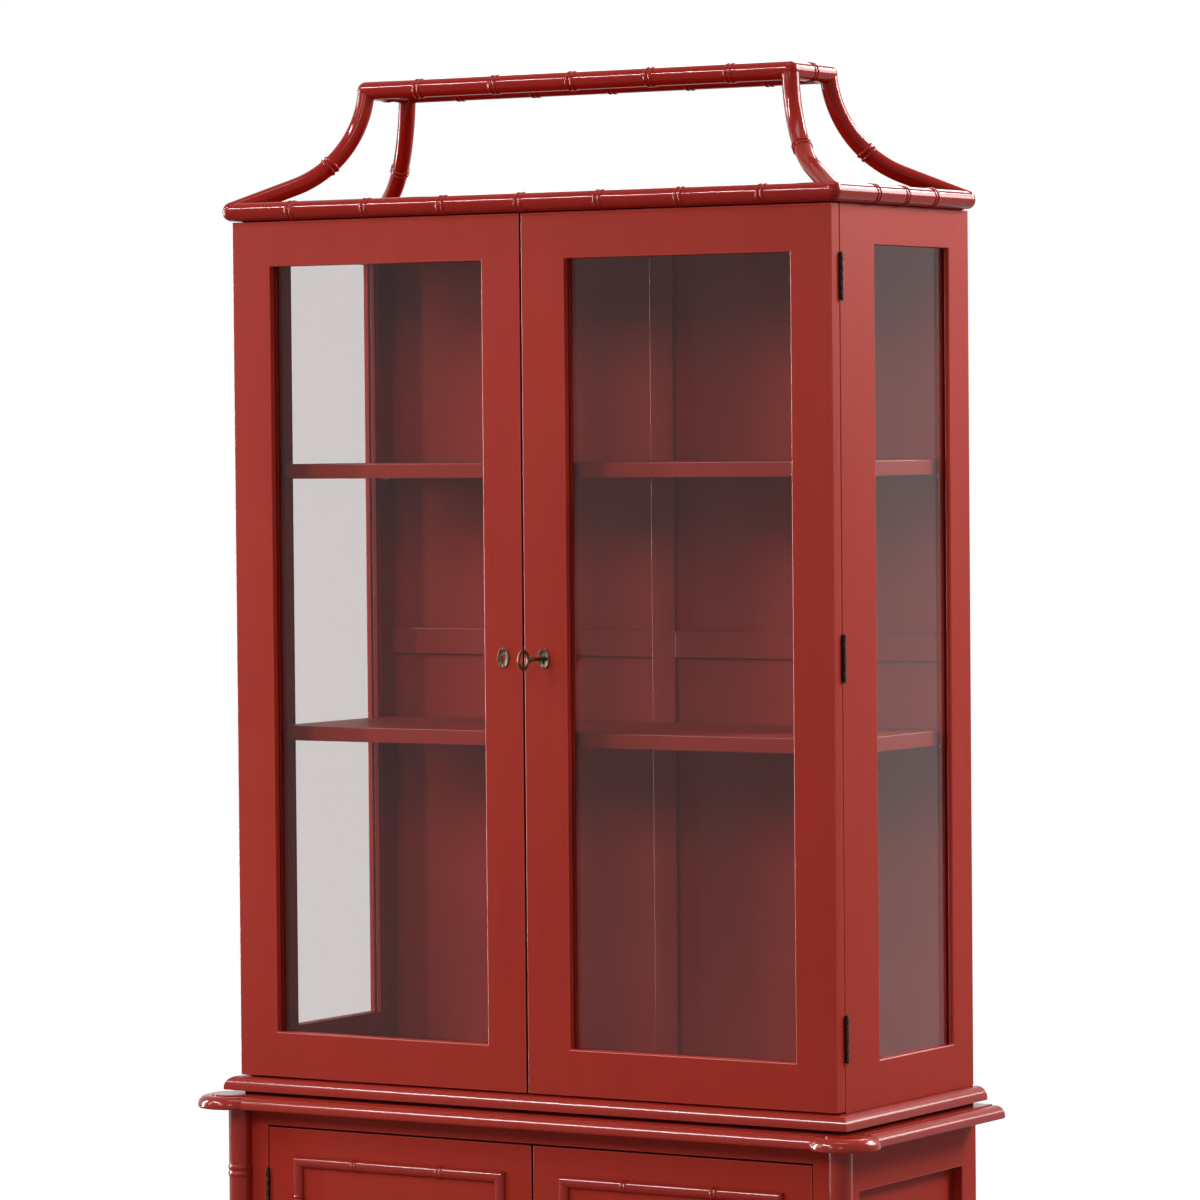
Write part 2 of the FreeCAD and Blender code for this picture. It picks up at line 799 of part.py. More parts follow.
def add_base_carcass():
    """Sides, face frame, bottom, back and shelf of the base."""
    shelf_front = face + size.shelf_setback
    cleat_high = size.base_shelf_height - size.shelf_thickness
    panels, cleats = [], []
    for name, sign in SIDES:
        frame = Frame(
            f"base_side_{name}",
            side_spot(sign, base_half),
            (side_start, back),
            (size.leg_height, slab_low),
            (size.base_side_front_stile, size.base_side_rear_stile),
            (size.base_side_bottom_rail, size.base_side_top_rail),
            size.base_side_thickness,
            size.base_side_lip,
        )
        frame.trim("stile_high", back_groove(sign, base_inner, size.leg_height, slab_low))
        foot = (base_half * sign, back - size.base_side_rear_stile, 0)
        leg = block("rear_leg", foot, (base_inner * sign, back, size.leg_height))
        frame.members["stile_high"] = fuse(f"base_side_{name}_rear", [frame.members["stile_high"], leg])
        frame.add()
        panels.append(frame.pane("base_side_panel", size.base_panel))
        corner = (base_inner * sign, side_start, cleat_high - size.cleat_height)
        opposite = ((base_inner - size.cleat_thickness) * sign, panel_front, cleat_high)
        cleats.append(block("cleat", corner, opposite))
    node("base_side_panels", *panels)
    node("base_shelf_cleats", *cleats)
    stiles = [
        block(
            "face_stile",
            (opening_half * sign, base_face, size.leg_height),
            (base_half * sign, side_start, slab_low),
        )
        for sign in (-1, 1)
    ]
    bottom_high = size.leg_height + size.face_bottom_rail
    rails = [
        block("face_rail", (-opening_half, base_face, low), (opening_half, side_start, high))
        for low, high in ((size.leg_height, bottom_high), (slab_low - size.face_top_rail, slab_low))
    ]
    node("base_face_frame", *stiles, *rails)
    board_low = bottom_high - size.bottom_board
    board_corner = (-base_inner, side_start, board_low)
    node("base_bottom_board", block("bottom", board_corner, (base_inner, panel_front, bottom_high)))
    panel_half = base_inner + size.back_rebate
    panel_back = panel_front + size.back_panel
    panel_corner = (-panel_half, panel_front, board_low)
    node("base_back_panel", block("back", panel_corner, (panel_half, panel_back, slab_low)))
    add_shelf("base_shelf", base_inner, shelf_front, panel_front, size.base_shelf_height)


def trim_lengths(low_x, high_x, low_z, high_z):
    """Half-round bamboo lengths round a rectangle on the base door's face, mitred at the corners."""
    radius = size.trim_width.value / 2
    ridge = (size.trim_ridge_height.value, size.trim_ridge_width.value, size.trim_ridge_gap.value)
    half_width = (high_x - low_x) / 2 - radius
    half_height = (high_z - low_z) / 2 - radius
    spread_across = size.trim_node_spread.value
    inset = size.trim_node_inset.value
    pitch = 2 * (half_height + radius - inset) / (TRIM_SIDE_NODES - 1)
    across = [-spread_across, spread_across]
    upright = spread(TRIM_SIDE_NODES, pitch)
    middle = Vector((low_x + high_x) / 2, base_face.value, (low_z + high_z) / 2)
    lengths = []
    for angle, run, places, shift in (
        (0, half_width, across, (0, -half_height)),
        (90, half_height, upright, (half_width, 0)),
        (180, half_width, across, (0, half_height)),
        (270, half_height, upright, (-half_width, 0)),
    ):
        length = turned(mitred_rail(run, radius, places, ridge, True), angle, (*shift, 0))
        length.rotate(Vector(0, 0, 0), Vector(1, 0, 0), 90)
        length.translate(middle)
        lengths.append(solid("trim_length", length))
    return lengths


class Hinges:
    """A row of butt hinges on one door: leaves on the door, leaves on the case, and pins.

    spot turns (distance from the pin into the leaf, side of the gap, height) into a point.
    The door's leaf lies on the negative side of the gap.
    """

    def __init__(self, spot, door_low_level, door_high_level, inset, count):
        self.spot = spot
        first = door_low_level + inset
        last = door_high_level - inset - size.hinge_length
        self.lows = [first + (last - first) * index / (count - 1) for index in range(count)]
        self.knuckle = size.hinge_length / KNUCKLES

    def leaf(self, low, side, own):
        """One leaf: a plate and the knuckles that belong to it, bored for the pin."""
        edge = size.knuckle_radius + size.knuckle_gap
        thickness = size.leaf_thickness * side
        plate_end = size.leaf_width + size.knuckle_offset
        opposite = self.spot(plate_end, thickness, low + size.hinge_length)
        pieces = [block("plate", self.spot(edge, 0, low), opposite)]
        for index in own:
            start = low + self.knuckle * index
            if index > 0:
                start = start + size.knuckle_gap / 2
            end = low + self.knuckle * (index + 1)
            if index < KNUCKLES - 1:
                end = end - size.knuckle_gap / 2
            pieces.append(block("tab", self.spot(0, 0, start), self.spot(edge, thickness, end)))
            foot = self.spot(0, 0, start)
            pieces.append(pin("knuckle", size.knuckle_radius, foot, end - start, Vector(0, 0, 1)))
        bore_radius = size.hinge_pin_radius + size.hinge_pin_fit
        bore = pin("bore", bore_radius, self.spot(0, 0, low), size.hinge_length, Vector(0, 0, 1))
        return cut("hinge_leaf", fuse("leaf_joined", pieces), bore)

    def door_leaves(self):
        """The leaves that swing with the door."""
        return [self.leaf(low, -1, range(1, KNUCKLES, 2)) for low in self.lows]

    def case_leaves(self):
        """The leaves that stay on the case."""
        return [self.leaf(low, 1, range(0, KNUCKLES, 2)) for low in self.lows]

    def pins(self):
        """The pins, a little longer than the barrels."""
        tip = size.hinge_pin_tip
        length = size.hinge_length + tip * 2
        return [
            pin("hinge_pin", size.hinge_pin_radius, self.spot(0, 0, low - tip), length, Vector(0, 0, 1))
            for low in self.lows
        ]


class Lock:
    """A lock let into the back of a right-hand door, with its bolt and its key."""

    def __init__(self, name, front, rear, edges, key_x, key_z):
        self.name = name
        self.front = front
        self.rear = rear
        self.left_edge, self.edge = edges
        self.key_x = key_x
        self.key_z = key_z
        self.bolt_low = key_z + size.bit_reach + size.bolt_clearance
        self.bolt_high = self.bolt_low + size.bolt_height
        self.case_front = rear - size.lock_depth
        self.case_left = self.edge + size.lock_edge
        self.case_right = self.case_left + size.lock_width
        self.case_low = key_z - size.bit_reach - size.bolt_clearance - size.lock_wall
        self.case_high = self.bolt_high + size.bolt_clearance + size.lock_wall
        self.bolt_middle = rear - size.lock_depth / 2

    def case_block(self, name, wall):
        """The case's outline, drawn in by a wall."""
        return block(
            name,
            (self.case_left + wall, self.case_front + wall, self.case_low + wall),
            (self.case_right - wall, self.rear - wall, self.case_high - wall),
        )

    def bolt_block(self, name, left, right, margin):
        """A block on the bolt's line, grown by a margin."""
        half_thickness = size.bolt_thickness / 2 + margin
        return block(
            name,
            (left, self.bolt_middle - half_thickness, self.bolt_low - margin),
            (right, self.bolt_middle + half_thickness, self.bolt_high + margin),
        )

    def keyhole(self, end):
        """The round hole that the key's shaft passes through."""
        radius = size.key_radius + size.key_clearance
        start = (self.key_x, self.front, self.key_z)
        return pin("keyhole", radius, start, end - self.front, Vector(0, 1, 0))

    def right_cuts(self):
        """What the right-hand door loses: the case's recess, the bolt's slot and the keyhole."""
        slot = self.bolt_block("bolt_slot", self.edge, self.case_left, size.bolt_clearance)
        return self.case_block("lock_recess", as_dim(0)), slot, self.keyhole(self.case_front)

    def left_cut(self):
        """The mortise in the left-hand door that the thrown bolt enters."""
        depth = size.bolt_throw + size.bolt_clearance
        end = self.left_edge - depth
        return self.bolt_block("bolt_mortise", end, self.left_edge, size.bolt_clearance)

    def add(self):
        """Lock case, bolt and key."""
        wall_end = self.case_left + size.lock_wall
        window = self.bolt_block("bolt_window", self.case_left, wall_end, size.bolt_clearance)
        outer = self.case_block("lock_outer", as_dim(0))
        inner = self.case_block("lock_inner", size.lock_wall)
        keyhole = self.keyhole(self.case_front + size.lock_wall)
        node(f"{self.name}_lock_case", cut("lock_case", outer, inner, window, keyhole))
        bolt = self.bolt_block("bolt", self.edge, self.edge + size.bolt_length, as_dim(0))
        node(f"{self.name}_lock_bolt", bolt)
        node(f"{self.name}_key", self.key())

    def key(self):
        """A key with a ring bow, a collar, a round shaft and a bit."""
        bow_y = self.front - size.key_reach
        bow = doc.addObject("Part::Torus", "bow")
        bind(bow, "Radius1", size.bow_radius)
        bind(bow, "Radius2", size.bow_wire)
        bow.Placement.Rotation = Rotation(Vector(0, 0, 1), Vector(1, 0, 0))
        place(bow, (self.key_x, bow_y, self.key_z))
        neck = bow_y + size.bow_radius
        tip = self.rear - size.lock_wall - size.bolt_clearance
        along = Vector(0, 1, 0)
        shaft = pin("shaft", size.key_radius, (self.key_x, neck, self.key_z), tip - neck, along)
        collar_start = (self.key_x, neck + size.bow_wire, self.key_z)
        collar = pin("collar", size.collar_radius, collar_start, size.collar_length, along)
        bit_start = self.case_front + size.lock_wall + size.bolt_clearance
        bit_half = size.bit_thickness / 2
        bit = block(
            "bit",
            (self.key_x - bit_half, bit_start, self.key_z - size.bit_reach),
            (self.key_x + bit_half, bit_start + size.bit_length, self.key_z),
        )
        return fuse("key", [bow, shaft, collar, bit])


def escutcheon(x, front, z):
    """An oval plate with a keyhole, on a door's face."""
    tall, wide = size.plate_height.value / 2, size.plate_width.value / 2
    outline = Part.Ellipse(Vector(0, 0, tall), Vector(wide, 0, 0), Vector(0, 0, 0))
    plate = Part.Face(Part.Wire(outline.toShape())).extrude(Vector(0, size.plate_thickness.value, 0))
    hole_radius = (size.key_radius + size.key_clearance).value
    thickness = size.plate_thickness.value
    hole = Part.makeCylinder(hole_radius, thickness, Vector(0, 0, 0), Vector(0, 1, 0))
    slot = size.keyhole_slot.value
    drop = size.keyhole_drop.value
    slit = Part.makeBox(slot, thickness, drop, Vector(-slot / 2, 0, -drop))
    plate = plate.cut([hole, slit])
    plate.translate(Vector(x.value, front.value - thickness, z.value))
    return solid("plate", plate)


def add_doors():
    """Four doors with their glass, trim, locks, plates and hinges."""
    case_leaves, hinge_pins = [], []
    left_edge = -size.door_gap / 2 - size.meeting_shift
    right_edge = left_edge + size.door_gap
    key_z = door_low + size.keyhole_height
    lock = Lock("hutch", face, door_back, (left_edge, right_edge), size.right_keyhole_inset, key_z)
    for name, sign in SIDES:
        if sign < 0:
            along, stiles = (-half, left_edge), (size.door_stile, size.left_meeting_stile)
        else:
            along, stiles = (right_edge, half), (size.right_meeting_stile, size.door_stile)
        frame = Frame(
            f"hutch_door_{name}_frame",
            front_spot(face),
            along,
            (door_low, door_high),
            stiles,
            (size.door_rail, size.door_rail),
            size.door_thickness,
            size.door_lip,
        )
        if sign < 0:
            frame.trim("stile_high", lock.left_cut())
        else:
            frame.trim("stile_low", *lock.right_cuts())
        frame.add()
        node(f"hutch_door_{name}_glass", frame.pane("door_pane", size.glass_thickness))
        node(f"hutch_door_{name}_beads", *frame.beads("door_bead"))
        inset = -size.left_keyhole_inset if sign < 0 else size.right_keyhole_inset
        node(f"hutch_door_{name}_escutcheon", escutcheon(inset, face, key_z))
        hinges = Hinges(
            lambda into, across, height, sign=sign: (
                (half + size.knuckle_offset - into) * sign,
                door_back + size.leaf_thickness + across,
                height,
            ),
            door_low,
            door_high,
            size.hinge_inset,
            DOOR_HINGES,
        )
        node(f"hutch_door_{name}_hinge_leaves", *hinges.door_leaves())
        case_leaves += hinges.case_leaves()
        hinge_pins += hinges.pins()
    lock.add()
    base_edge = size.base_door_gap / 2
    base_key_z = (base_door_low + base_door_high) / 2
    base_edges = (-base_edge, base_edge)
    base_lock = Lock("base", base_face, base_door_back, base_edges, size.right_keyhole_inset, base_key_z)
    for name, sign in SIDES:
        door = block(
            "door",
            (base_edge * sign, base_face, base_door_low),
            (base_door_outer * sign, base_door_back, base_door_high),
        )
        cuts = [base_lock.left_cut()] if sign < 0 else base_lock.right_cuts()
        node(f"base_door_{name}", cut("door_board", door, *cuts))
        inner_edge = base_edge + size.trim_side_inset
        outer_edge = base_door_outer - size.trim_side_inset
        low_x, high_x = sorted(((inner_edge * sign).value, (outer_edge * sign).value))
        low_z = (base_door_low + size.trim_end_inset).value
        high_z = (base_door_high - size.trim_end_inset).value
        node(f"base_door_{name}_bamboo_trim", *trim_lengths(low_x, high_x, low_z, high_z))
        plate = escutcheon(size.right_keyhole_inset * sign, base_face, base_key_z)
        node(f"base_door_{name}_escutcheon", plate)
        hinges = Hinges(
            lambda into, across, height, sign=sign: (
                (opening_half - size.leaf_thickness + across) * sign,
                base_face - size.knuckle_offset + into,
                height,
            ),
            base_door_low,
            base_door_high,
            size.base_hinge_inset,
            BASE_DOOR_HINGES,
        )
        node(f"base_door_{name}_hinge_leaves", *hinges.door_leaves())
        case_leaves += hinges.case_leaves()
        hinge_pins += hinges.pins()
    base_lock.add()
    node("hinge_case_leaves", *case_leaves)
    node("hinge_pins", *hinge_pins)


def write_parts():
    """Check every object, then write each sub-part to a file of its own."""
    doc.recompute()
    for piece in doc.Objects:
        if "Invalid" in piece.State or "Error" in piece.State:
            raise RuntimeError(f"{piece.Label} failed: {piece.State}")
    for label, piece in nodes.items():
        if piece.Shape.isNull() or not piece.Shape.isValid() or not piece.Shape.Solids:
            raise RuntimeError(f"{label} has no valid solid")
    os.makedirs("parts", exist_ok=True)
    for label, piece in nodes.items():
        piece.Shape.exportStep(f"parts/{label}.step")
    print(f"{len(nodes)} sub-parts written")


add_hutch_foot()
add_hutch_case()
add_crown()
add_base_top()
add_posts()
add_base_carcass()
add_doors()
write_parts()
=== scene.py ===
"""Looks of a red lacquer display cabinet: a glazed hutch with a bamboo crown on a two-door base.

Metres, +Z up, the doors face -Y, the origin is on the floor under the middle of the cabinet.
"""

import json
import logging
import math
from contextlib import contextmanager
from dataclasses import dataclass, field
from enum import Enum
from typing import Any, Callable, Iterator, Mapping, Sequence

import bmesh
import bpy
from mathutils import Matrix, Vector


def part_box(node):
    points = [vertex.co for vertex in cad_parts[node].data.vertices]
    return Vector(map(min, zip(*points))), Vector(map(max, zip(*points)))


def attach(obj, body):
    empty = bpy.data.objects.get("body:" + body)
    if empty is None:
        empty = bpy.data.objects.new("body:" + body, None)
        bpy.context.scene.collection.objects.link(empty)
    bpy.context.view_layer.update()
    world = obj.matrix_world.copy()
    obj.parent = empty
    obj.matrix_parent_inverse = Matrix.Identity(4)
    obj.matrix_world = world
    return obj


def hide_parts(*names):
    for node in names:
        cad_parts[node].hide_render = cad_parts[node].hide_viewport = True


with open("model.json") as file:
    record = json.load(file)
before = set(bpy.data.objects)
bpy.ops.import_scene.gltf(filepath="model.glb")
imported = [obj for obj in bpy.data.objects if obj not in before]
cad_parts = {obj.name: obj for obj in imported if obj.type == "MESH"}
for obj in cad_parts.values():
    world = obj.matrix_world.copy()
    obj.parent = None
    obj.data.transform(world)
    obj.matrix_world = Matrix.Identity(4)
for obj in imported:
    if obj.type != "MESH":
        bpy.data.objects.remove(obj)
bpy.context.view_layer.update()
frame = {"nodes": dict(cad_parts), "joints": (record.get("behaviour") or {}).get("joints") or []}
LOG = logging.getLogger("display_cabinet")

Colour = tuple[float, float, float]
Stops = tuple[tuple[float, float], ...]
SIDES = (("left", -1), ("right", 1))
MERGE = 1e-6
FACING = 0.9
# Slot of the arris finish, whose lighter red is partly rubbed wear, partly a painted highlight.
ARRIS_SLOT = 1


class Slot(Enum):
    """Material slots of the record."""

    LACQUER = "red_lacquer"
    GLOSS = "red_gloss_lacquer"
    GLASS = "clear_glass"
    BRASS = "aged_brass"
    STEEL = "steel"


class Axis(Enum):
    """Directions of the cabinet: across it, from front to back, and up."""

    ACROSS = 0
    DEPTH = 1
    UP = 2

    def way(self, sign: float = 1) -> Vector:
        """Vector along this axis.

        Args:
            sign: Length, or -1 and 1 for the two ways.

        Returns:
            The vector.
        """
        vector = Vector((0, 0, 0))
        vector[self.value] = sign
        return vector


class Wire:
    """A shader value that takes part in Python expressions."""

    def __init__(self, bench: "ShaderBench", socket: bpy.types.NodeSocket) -> None:
        """Keep a socket and the bench that it lies on."""
        self.bench = bench
        self.socket = socket

    def _math(self, operation: str, first: Any, second: Any) -> "Wire":
        """Add a Math node for one operation."""
        made = self.bench.add("ShaderNodeMath", {"operation": operation}, {0: first, 1: second})
        return Wire(self.bench, made.outputs[0])

    def __add__(self, other: Any) -> "Wire":
        """This value plus another."""
        return self._math("ADD", self, other)

    def __radd__(self, other: Any) -> "Wire":
        """Another value plus this one."""
        return self._math("ADD", other, self)

    def __sub__(self, other: Any) -> "Wire":
        """This value less another."""
        return self._math("SUBTRACT", self, other)

    def __rsub__(self, other: Any) -> "Wire":
        """Another value less this one."""
        return self._math("SUBTRACT", other, self)

    def __mul__(self, other: Any) -> "Wire":
        """This value times another."""
        return self._math("MULTIPLY", self, other)

    def __rmul__(self, other: Any) -> "Wire":
        """Another value times this one."""
        return self._math("MULTIPLY", other, self)

    def __pow__(self, other: Any) -> "Wire":
        """This value to a power."""
        return self._math("POWER", self, other)

    def at_least(self, other: Any) -> "Wire":
        """The larger of two values."""
        return self._math("MAXIMUM", self, other)


class ShaderBench:
    """Node tree of one material or of the world.

    Args:
        tree: The node tree, which is emptied first.
    """

    def __init__(self, tree: bpy.types.NodeTree) -> None:
        """Start with an empty tree."""
        self.tree = tree
        tree.nodes.clear()

    def add(self, kind: str, settings: Mapping[str, Any], inputs: Mapping[Any, Any]) -> bpy.types.Node:
        """Add a node.

        Args:
            kind: Type of the node.
            settings: Its properties, or the stops of a ramp, which are set first.
            inputs: Value or link of each input, by name or number.

        Returns:
            The node.
        """
        made = self.tree.nodes.new(kind)
        for name, value in settings.items():
            if name == "stops":
                self._set_stops(made.color_ramp, value)
            else:
                setattr(made, name, value)
        for key, value in inputs.items():
            if isinstance(value, Wire):
                value = value.socket
            if isinstance(value, bpy.types.NodeSocket):
                self.tree.links.new(value, made.inputs[key])
            else:
                made.inputs[key].default_value = value
        return made

    @staticmethod
    def _set_stops(ramp: bpy.types.ColorRamp, stops: Stops) -> None:
        """Set a ramp's places and grey levels.

        Args:
            ramp: The ramp.
            stops: Place and level of each stop.
        """
        while len(ramp.elements) < len(stops):
            ramp.elements.new(1)
        for element, (place, level) in zip(ramp.elements, stops):
            element.position = place
            element.color = (level, level, level, 1)

    def place(self, stretch: Sequence[float] = (1, 1, 1)) -> Wire:
        """Object coordinates, stretched.

        Args:
            stretch: Scale along each axis.

        Returns:
            The vector.
        """
        source = self.add("ShaderNodeTexCoord", {}, {}).outputs["Object"]
        mapped = self.add("ShaderNodeMapping", {}, {"Vector": source, "Scale": tuple(stretch)})
        return Wire(self, mapped.outputs[0])

    def noise(self, vector: Wire, scale: float, detail: float = 3, roughness: float = 0.55) -> Wire:
        """Cloudy value between 0 and 1.

        Args:
            vector: Where the pattern is read.
            scale: Size of the pattern, in cells to the metre.
            detail: Number of finer layers.
            roughness: Strength of the finer layers.

        Returns:
            The value.
        """
        inputs = {"Vector": vector, "Scale": scale, "Detail": detail, "Roughness": roughness}
        return Wire(self, self.add("ShaderNodeTexNoise", {}, inputs).outputs[0])

    def ramp(self, value: Wire, stops: Stops) -> Wire:
        """A value spread between stops of (place, level)."""
        made = self.add("ShaderNodeValToRGB", {"stops": stops}, {0: value})
        return Wire(self, made.outputs[0])

    def blend(self, share: Wire, first: Any, second: Any) -> Wire:
        """A colour between two others.

        Args:
            share: 0 gives the first colour and 1 the second.
            first: Colour or link.
            second: Colour or link.

        Returns:
            The colour.
        """
        ends = [(*end, 1) if isinstance(end, tuple) else end for end in (first, second)]
        made = self.add("ShaderNodeMix", {"data_type": "RGBA"}, {0: share, 6: ends[0], 7: ends[1]})
        return Wire(self, made.outputs[2])

    def bump(self, height: Wire, strength: float, distance: float) -> Wire:
        """Fine relief of a surface.

        Args:
            height: Relief between 0 and 1.
            strength: How much of it counts.
            distance: Height of the relief.

        Returns:
            The normal.
        """
        inputs = {"Height": height, "Strength": strength, "Distance": distance}
        return Wire(self, self.add("ShaderNodeBump", {}, inputs).outputs[0])

    def surface(self, inputs: Mapping[Any, Any]) -> bpy.types.Node:
        """A Principled surface."""
        return self.add("ShaderNodeBsdfPrincipled", {}, inputs)

    def show(self, shader: bpy.types.NodeSocket, kind: str = "ShaderNodeOutputMaterial") -> None:
        """Send a shader to the output."""
        self.add(kind, {}, {"Surface": shader})


def new_bench(name: str) -> tuple[bpy.types.Material, ShaderBench]:
    """Make an empty material with its bench.

    Args:
        name: Name of the material.

    Returns:
        The material and the bench of its node tree.
    """
    material = bpy.data.materials.new(name)
    material.use_nodes = True
    return material, ShaderBench(material.node_tree)


@dataclass(frozen=True)
class Lacquer:
    """Red lacquer over wood, satin on the flat frames and glossy on the turned canes.

    Args:
        name: Name of the material.
        colour: Paler red of the mottle.
        deep: Deeper red of the mottle.
        roughness: Mean roughness.
        specular: Level of the shine.
    """

    name: str
    colour: Colour
    deep: Colour
    roughness: float
    specular: float
    cloud_scale: float = 2.6
    cloud_share: float = 0.65
    brush_scale: float = 34
    brush_share: float = 0.35
    brush_stretch: tuple[float, float, float] = (1, 1, 0.12)
    mottle_stops: Stops = ((0.32, 0), (0.68, 1))
    peel_scale: float = 520
    peel_detail: float = 2
    peel_height: float = 0.00005
    peel_strength: float = 0.02
    roughness_spread: float = 0.04

    def material(self) -> bpy.types.Material:
        """Build the material.

        Returns:
            The material.
        """
        made, bench = new_bench(self.name)
        spot = bench.place()
        cloud = bench.noise(spot, self.cloud_scale)
        brush = bench.noise(bench.place(self.brush_stretch), self.brush_scale)
        mottle = bench.ramp(cloud * self.cloud_share + brush * self.brush_share, self.mottle_stops)
        colour = bench.blend(mottle, self.deep, self.colour)
        peel = bench.noise(spot, self.peel_scale, self.peel_detail)
        rough = brush * self.roughness_spread + (self.roughness - self.roughness_spread / 2)
        surface = bench.surface({
            "Base Color": colour,
            "Roughness": rough,
            "Specular IOR Level": self.specular,
            "Normal": bench.bump(peel, self.peel_strength, self.peel_height),
        })
        bench.show(surface.outputs[0])
        return made


@dataclass(frozen=True)
class PaneGlass:
    """Clear, slightly grey cabinet glass with the faintest haze of dust."""

    name: str = "cabinet_glass"
    tint: Colour = (0.895, 0.881, 0.880)
    straight_shine: float = 0.012
    slant_blend: float = 0.5
    slant_power: float = 5
    haze: float = 0.004
    haze_scale: float = 7

    def material(self) -> bpy.types.Material:
        """Build the material.

        Returns:
            The material.
        """
        made, bench = new_bench(self.name)
        clear = bench.add("ShaderNodeBsdfTransparent", {}, {"Color": (*self.tint, 1)})
        shine = bench.add("ShaderNodeBsdfGlossy", {}, {"Color": (1, 1, 1, 1), "Roughness": 0.0})
        weight = bench.add("ShaderNodeLayerWeight", {}, {"Blend": self.slant_blend})
        slant = Wire(bench, weight.outputs["Facing"]) ** self.slant_power
        dust = bench.noise(bench.place(), self.haze_scale)
        share = slant * (1 - self.straight_shine) + self.straight_shine + dust * self.haze
        mixed = bench.add(
            "ShaderNodeMixShader", {}, {0: share, 1: clear.outputs[0], 2: shine.outputs[0]}
        )
        bench.show(mixed.outputs[0])
        return made


@dataclass(frozen=True)
class Metal:
    """Fittings: brass that has darkened, or dull steel."""

    name: str
    bright: Colour
    dark: Colour
    roughness: float
    patch_scale: float = 420
    patch_stops: Stops = ((0.38, 0), (0.66, 1))
    patch_roughness: float = 0.2
    scratch_scale: float = 2400
    scratch_detail: float = 2
    scratch_strength: float = 0.3
    relief: float = 0.00004

    def material(self) -> bpy.types.Material:
        """Build the material.

        Returns:
            The material.
        """
        made, bench = new_bench(self.name)
        spot = bench.place()
        patch = bench.ramp(bench.noise(spot, self.patch_scale), self.patch_stops)
        scratch = bench.noise(spot, self.scratch_scale, self.scratch_detail)
        surface = bench.surface({
            "Base Color": bench.blend(patch, self.dark, self.bright),
            "Metallic": 1.0,
            "Roughness": self.roughness + self.patch_roughness * (1 - patch),
            "Normal": bench.bump(scratch, self.scratch_strength, self.relief),
        })
        bench.show(surface.outputs[0])
        return made


@dataclass
class Finishes:
    """All finishes of the cabinet, each made once."""

    satin: bpy.types.Material = field(init=False)
    lit_lining: bpy.types.Material = field(init=False)
    dull: bpy.types.Material = field(init=False)
    shade: bpy.types.Material = field(init=False)
    arris: bpy.types.Material = field(init=False)
    sheen: bpy.types.Material = field(init=False)
    gloss: bpy.types.Material = field(init=False)
    glass: bpy.types.Material = field(init=False)
    brass: bpy.types.Material = field(init=False)
    bronze: bpy.types.Material = field(init=False)
    iron: bpy.types.Material = field(init=False)
    steel: bpy.types.Material = field(init=False)

    def __post_init__(self) -> None:
        """Make the materials."""
        self.satin = Lacquer(
            "satin_red_lacquer", (0.375, 0.0275, 0.0150), (0.335, 0.0225, 0.0120), 0.46, 0.065
        ).material()
        # Painted light: a paler copy of the satin red for the inside of the hutch, standing in for more
        # light reaching it.
        self.lit_lining = Lacquer(
            "lit_lining_red_lacquer", (0.45, 0.0365, 0.0214), (0.41, 0.0315, 0.0184), 0.46, 0.07
        ).material()
        self.dull = Lacquer(
            "dull_red_lacquer", (0.355, 0.0265, 0.0150), (0.315, 0.0215, 0.0120), 0.75, 0.0
        ).material()
        # Painted shade: a near-black red for the doors' meeting and top edges, standing in for the
        # shadow in the gaps between the doors.
        self.shade = Lacquer(
            "painted_door_gap_shade", (0.085, 0.0075, 0.0050), (0.060, 0.0055, 0.0040), 0.60, 0.03
        ).material()
        # Lighter, glossier red for the rounded arrises: partly rubbed wear, partly a painted highlight
        # along the edges.
        self.arris = Lacquer(
            "rubbed_and_highlit_red_arris", (0.44, 0.045, 0.030), (0.39, 0.034, 0.022), 0.32, 0.2
        ).material()
        self.sheen = Lacquer(
            "polished_red_lacquer", (0.345, 0.0220, 0.0120), (0.310, 0.0180, 0.0100), 0.16, 0.17
        ).material()
        self.gloss = Lacquer(
            "gloss_red_lacquer", (0.300, 0.0120, 0.0060), (0.265, 0.0095, 0.0046), 0.09, 0.10
        ).material()
        self.glass = PaneGlass().material()
        self.brass = Metal("aged_brass", (0.22, 0.13, 0.065), (0.04, 0.024, 0.014), 0.30).material()
        self.bronze = Metal(
            "dark_bronze", (0.115, 0.072, 0.042), (0.022, 0.015, 0.010), 0.28
        ).material()
        self.iron = Metal(
            "blackened_hinge_brass", (0.06, 0.042, 0.034), (0.014, 0.010, 0.009), 0.42
        ).material()
        self.steel = Metal("dull_steel", (0.52, 0.50, 0.47), (0.30, 0.29, 0.28), 0.34).material()


